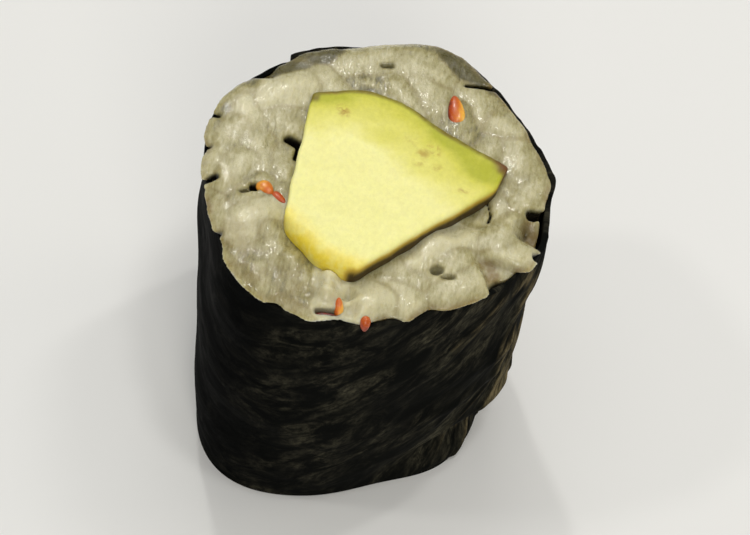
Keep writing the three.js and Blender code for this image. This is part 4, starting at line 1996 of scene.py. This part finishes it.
        # A darker patch over the front-left slope.
        tinted_share = ease(inside, 8.0, 1.0) * arch(angle, self.darkening_turn, self.darkening_reach)
        return {
            "tone": tone / weight,
            "core": core / weight,
            # crease: painted shade between grains; rim: painted shade along the rim's edge, with the
            # front-left patch.
            "crease": ease(second - nearest, 0.5, 0.02),
            "rim": np.maximum(ease(inside, 1.1, 0.1), self.darkening * tinted_share),
            "hollow_shade": hollow_shade,
        }

    def surface(self, x: float, y: float) -> float:
        """Height of the rice's top face once its layer is made, or of a seat just past its rim.

        Args:
            x: place across the plan.
            y: place up the plan.

        Returns:
            The height there.
        """
        i, j = (int(round((v - self.low[k]) / self.voxel)) for k, v in enumerate((x, y)))
        filled = np.flatnonzero(self.block[i, j] < 0.0)
        if not len(filled):
            return self.shape.rice_height - self.rim_seat
        return float(self.low[2] + self.voxel * filled[-1])

    def core(self, finish: bpy.types.Material) -> bpy.types.Object:
        """The smaller core under the grains: a ring between the wrap and the avocado.

        Args:
            finish: the rice's material.

        Returns:
            The core's object, dressed.
        """
        s = self.shape
        angle = np.linspace(0.0, 360.0, self.core_columns, endpoint=False)
        low, high = self.core_foot, s.rice_height - self.layer_depth + self.core_cover
        heights = np.linspace(low, high, self.core_rows)
        wall = np.stack([s.rice_wall(angle, np.full_like(angle, z)) for z in heights])
        wall = wall - self.core_wall_gap
        around, reach = polar(s.wedge_outline(self.core_bore_steps))
        order = np.argsort(around % 360.0)
        bore = np.interp(angle, (around % 360.0)[order], reach[order], period=360.0)
        bore = bore + self.core_bore_gap
        bores = np.stack([bore * s.wedge_scale(z) for z in heights])[::-1]
        rings = [on_circle(angle, w, z) for w, z in zip(wall, heights)]
        inward = np.linspace(0.0, 1.0, self.core_end_rows + 2)[1:-1]
        rings += [on_circle(angle, blend(wall[-1], bores[0], t), high) for t in inward]
        rings += [on_circle(angle, b, z) for b, z in zip(bores, heights[::-1])]
        rings += [on_circle(angle, blend(bores[-1], wall[0], t), low) for t in inward]
        stack = np.stack(rings)
        lumps = layered_noise(stack, self.core_lump_size, Pattern.RICE_CORE, 2)
        stack[..., 2] += self.core_lump * lumps
        points = stack.reshape(-1, 3)
        none, full = np.zeros(len(points)), np.ones(len(points))
        return make_piece(
            "rice_core",
            points,
            grid_faces(*stack.shape[:2], True),
            s,
            finish,
            "rice_ring",
            # The core takes full painted shade, as it shows only at the bottoms of hollows.
            {"tone": none, "core": none, "crease": full, "rim": none, "hollow_shade": full},
        )

    def build(self) -> None:
        """Makes the core and both layers, all in the one rice finish."""
        finish = RiceFinish().material()
        self.core(finish)
        for face in Face:
            self.layer(face, finish)


# ---------------------------------------------------------------- sesame


@dataclass(frozen=True)
class Seed:
    """One sesame seed in the rice: its place, which way its point turns and how it leans.

    It is sunk by so many millimetres. The red is how toasted it is. The across is painted light
    and shade: how much redder its left side is, and yellower its right, as a painted highlight.
    """

    x: float
    y: float
    turn: float
    lean: float = 0.0
    sunk: float = 0.3
    length: float = 3.3
    width: float = 1.9
    red: float = 0.35
    across: float = 0.0


@dataclass
class SesameSeeds:
    """Toasted seeds caught between the grains and at the rim."""

    shape: RollShape
    rice: RiceBed
    around: int = 24
    along: int = 20
    thick: float = 1.1
    narrowing: float = 0.4
    widest: float = 0.86
    reddening: float = 0.35
    seeds: tuple[Seed, ...] = (
        Seed(7.4, 10.3, 104, 10, 0.45, 3.9, 2.0, 0.4, 1.1),
        Seed(-11.6, -4.3, -41, 6, 0.7, 2.2, 1.8, 0.25, 0.0),
        Seed(-10.1, -5.2, -38, 8, 0.75, 2.4, 1.3, 0.65, 0.0),
        Seed(-1.55, -18.2, 100, 30, 0.7, 2.1, 1.1, 0.3, 0.7),
        Seed(1.4, -19.3, -84, -50, 0.7, 1.7, 1.2, 0.7, 0.0),
        # A seed in a shadowed gap, coloured near char: painted shade.
        Seed(-2.8, -19.2, 8, 0, 0.2, 2.6, 0.8, 1.05, 0.0),
    )

    def form(self, seed: Seed) -> Array:
        """One seed's skin: a teardrop, flattened through its thickness.

        At share t of its length the half width is an ellipse's, sqrt(1 - (2t - 1)^2), narrowed
        towards the point and then divided by its widest; the thickness follows the width.

        Args:
            seed: the seed.

        Returns:
            Array of (along, around, 3), from the round end to the point.
        """
        t = (0.5 - 0.5 * np.cos(np.linspace(0.08, np.pi - 0.08, self.along)))[:, None]
        turn = np.linspace(0.0, 2.0 * np.pi, self.around, endpoint=False)[None, :]
        half = np.sqrt(1.0 - (2.0 * t - 1.0) ** 2) * (1.0 - self.narrowing * t) / self.widest
        u = seed.length * (t - 0.45) + 0.0 * turn
        v = 0.5 * seed.width * half * np.cos(turn)
        w = 0.5 * self.thick * half * np.sin(turn)
        return np.stack([u, v, w], axis=-1)

    def build(self) -> bpy.types.Object:
        """Sets every seed into the rice and joins them in one piece.

        Returns:
            The seeds' object, dressed.
        """
        points, faces, reds = [], [], []
        start = 0
        for seed in self.seeds:
            z = self.rice.surface(seed.x, seed.y)
            axes = Grain(seed.x, seed.y, z, seed.turn, seed.lean).axes()
            shell, quads = closed_stack(self.form(seed))
            middle = np.array([seed.x, seed.y, z + 0.5 * self.thick - seed.sunk])
            points.append(shell @ axes + middle)
            faces += [[start + i for i in quad] for quad in quads]
            red = seed.red + self.reddening * shell[:, 0] / seed.length
            # Painted shade on each seed's left side and painted highlight on its right, by its across.
            reds.append(red + seed.across * shell[:, 1] / seed.width)
            start += len(shell)
        return make_piece(
            "sesame_seeds_toasted",
            np.concatenate(points),
            faces,
            self.shape,
            SesameFinish().material(),
            None,
            {"red": np.clip(np.concatenate(reds), 0.0, 1.3)},
        )


# ---------------------------------------------------------------- studio


@dataclass(frozen=True)
class SoftLight:
    """A soft box aimed at the roll: where it stands, how large it is, how strong and its colour.

    Turn 0 is behind the roll, and positive turns are to its right.
    """

    name: str
    turn: float
    rise: float
    distance: float
    width: float
    tall: float
    watts: float
    colour: Colour


@dataclass
class Studio:
    """Pale floor, soft light and the camera.

    The camera is at a rise over the floor and a distance from the middle of the cut face. It leans
    to its left, and then turns down by the drop and aside by the side, all in degrees.
    """

    shape: RollShape
    floor_size: float = 3.0
    rise: float = 51.4
    lean: float = 9.9
    distance: float = 0.299
    lens: float = 133.2
    drop: float = 1.913
    side: float = 0.046
    sky: Colour = (1.0, 1.0, 1.0)
    sky_strength: float = 0.24
    film_width: float = 36.0
    near_clip: float = 0.01
    far_clip: float = 20.0
    lights: tuple[SoftLight, ...] = (
        SoftLight("overhead", -60.0, 86.0, 0.9, 0.9, 0.9, 1.05, (1.0, 0.99, 0.97)),
        SoftLight("back", -12.0, 52.0, 0.6, 0.3, 0.34, 0.5, (1.0, 0.99, 0.97)),
        SoftLight("key", -100.0, 50.0, 0.6, 0.06, 0.06, 0.3, (1.0, 0.98, 0.94)),
        SoftLight("glint", -22.0, 54.0, 0.6, 0.03, 0.14, 0.5, (1.0, 0.99, 0.96)),
        SoftLight("crown", 50.0, 64.0, 0.6, 0.03, 0.14, 0.35, (1.0, 0.98, 0.95)),
        SoftLight("spark", 120.0, 79.0, 0.6, 0.05, 0.09, 0.4, (1.0, 0.99, 0.97)),
        SoftLight("side", 70.0, 20.0, 0.5, 0.2, 0.2, 0.25, (1.0, 0.93, 0.8)),
        SoftLight("front", 168.0, 34.0, 0.7, 0.3, 0.3, 1.3, (1.0, 0.97, 0.9)),
    )

    def floor(self) -> None:
        """A flat square under the roll."""
        half = self.floor_size / 2.0
        corners = [(-half, -half, 0.0), (half, -half, 0.0), (half, half, 0.0), (-half, half, 0.0)]
        mesh = bpy.data.meshes.new("studio_floor")
        mesh.from_pydata(corners, [], [(0, 1, 2, 3)])
        mesh.materials.append(FloorFinish().material())
        floor = bpy.data.objects.new("studio_floor", mesh)
        bpy.context.scene.collection.objects.link(floor)

    def light(self, soft: SoftLight, target: Vector) -> None:
        """Hangs one soft box and turns it to the roll.

        Args:
            soft: the light.
            target: the point that it faces.
        """
        turn, rise = math.radians(soft.turn), math.radians(soft.rise)
        level = math.cos(rise)
        away = Vector((math.sin(turn) * level, math.cos(turn) * level, math.sin(rise)))
        lamp = bpy.data.lights.new(soft.name, "AREA")
        lamp.shape = "ELLIPSE"
        lamp.size = soft.width
        lamp.size_y = soft.tall
        lamp.energy = soft.watts
        lamp.color = soft.colour
        holder = bpy.data.objects.new(soft.name, lamp)
        holder.location = target + away * soft.distance
        holder.rotation_euler = away.to_track_quat("Z", "Y").to_euler()
        bpy.context.scene.collection.objects.link(holder)

    @staticmethod
    def swing(first: Vector, second: Vector, turn: float) -> tuple[Vector, Vector]:
        """Two directions at right angles, turned in their plane.

        Args:
            first: one direction.
            second: the other direction.
            turn: how far the first swings towards the second, in degrees.

        Returns:
            Both directions.
        """
        across, along = math.sin(math.radians(turn)), math.cos(math.radians(turn))
        return first * along + second * across, second * along - first * across

    def camera(self, target: Vector) -> None:
        """Sets the camera in front, looking down on the cut face and leaning a little to one side.

        Args:
            target: middle of the cut face, which shows above the middle of the view.
        """
        rise = math.radians(self.rise)
        away = Vector((0.0, -math.cos(rise), math.sin(rise)))
        level = Vector((1.0, 0.0, 0.0))
        right, up = self.swing(level, level.cross(-away), self.lean)
        back, up = self.swing(away, up, self.drop)
        right, back = self.swing(right, back, -self.side)
        data = bpy.data.cameras.new("studio_camera")
        data.lens, data.sensor_width = self.lens, self.film_width
        data.clip_start, data.clip_end = self.near_clip, self.far_clip
        camera = bpy.data.objects.new("studio_camera", data)
        camera.rotation_euler = Matrix((right, up, back)).transposed().to_euler()
        camera.location = target + away * self.distance
        bpy.context.scene.collection.objects.link(camera)
        bpy.context.scene.camera = camera

    def build(self) -> None:
        """Builds the floor, the sky, the lights and the camera."""
        middle = np.array([0.0, 0.0, self.shape.rice_height]) + self.shape.shift
        target = Vector(tuple(middle * MM))
        self.floor()
        for soft in self.lights:
            self.light(soft, target)
        world = bpy.data.worlds.new("studio_sky")
        world.use_nodes = True
        background = world.node_tree.nodes["Background"]
        background.inputs["Color"].default_value = (*self.sky, 1.0)
        background.inputs["Strength"].default_value = self.sky_strength
        bpy.context.scene.world = world
        bpy.context.scene.view_settings.view_transform = "Standard"
        self.camera(target)


def main() -> None:
    """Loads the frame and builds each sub-assembly over it."""
    logging.basicConfig(level=logging.INFO, format="%(name)s: %(message)s", stream=sys.stdout)
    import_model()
    shape = RollShape()
    shape.settle()
    Studio(shape).build()
    SeaweedWrap(shape).build()
    AvocadoWedge(shape).build()
    rice = RiceBed(shape)
    rice.build()
    SesameSeeds(shape, rice).build()


if __name__ == "__main__":
    main()
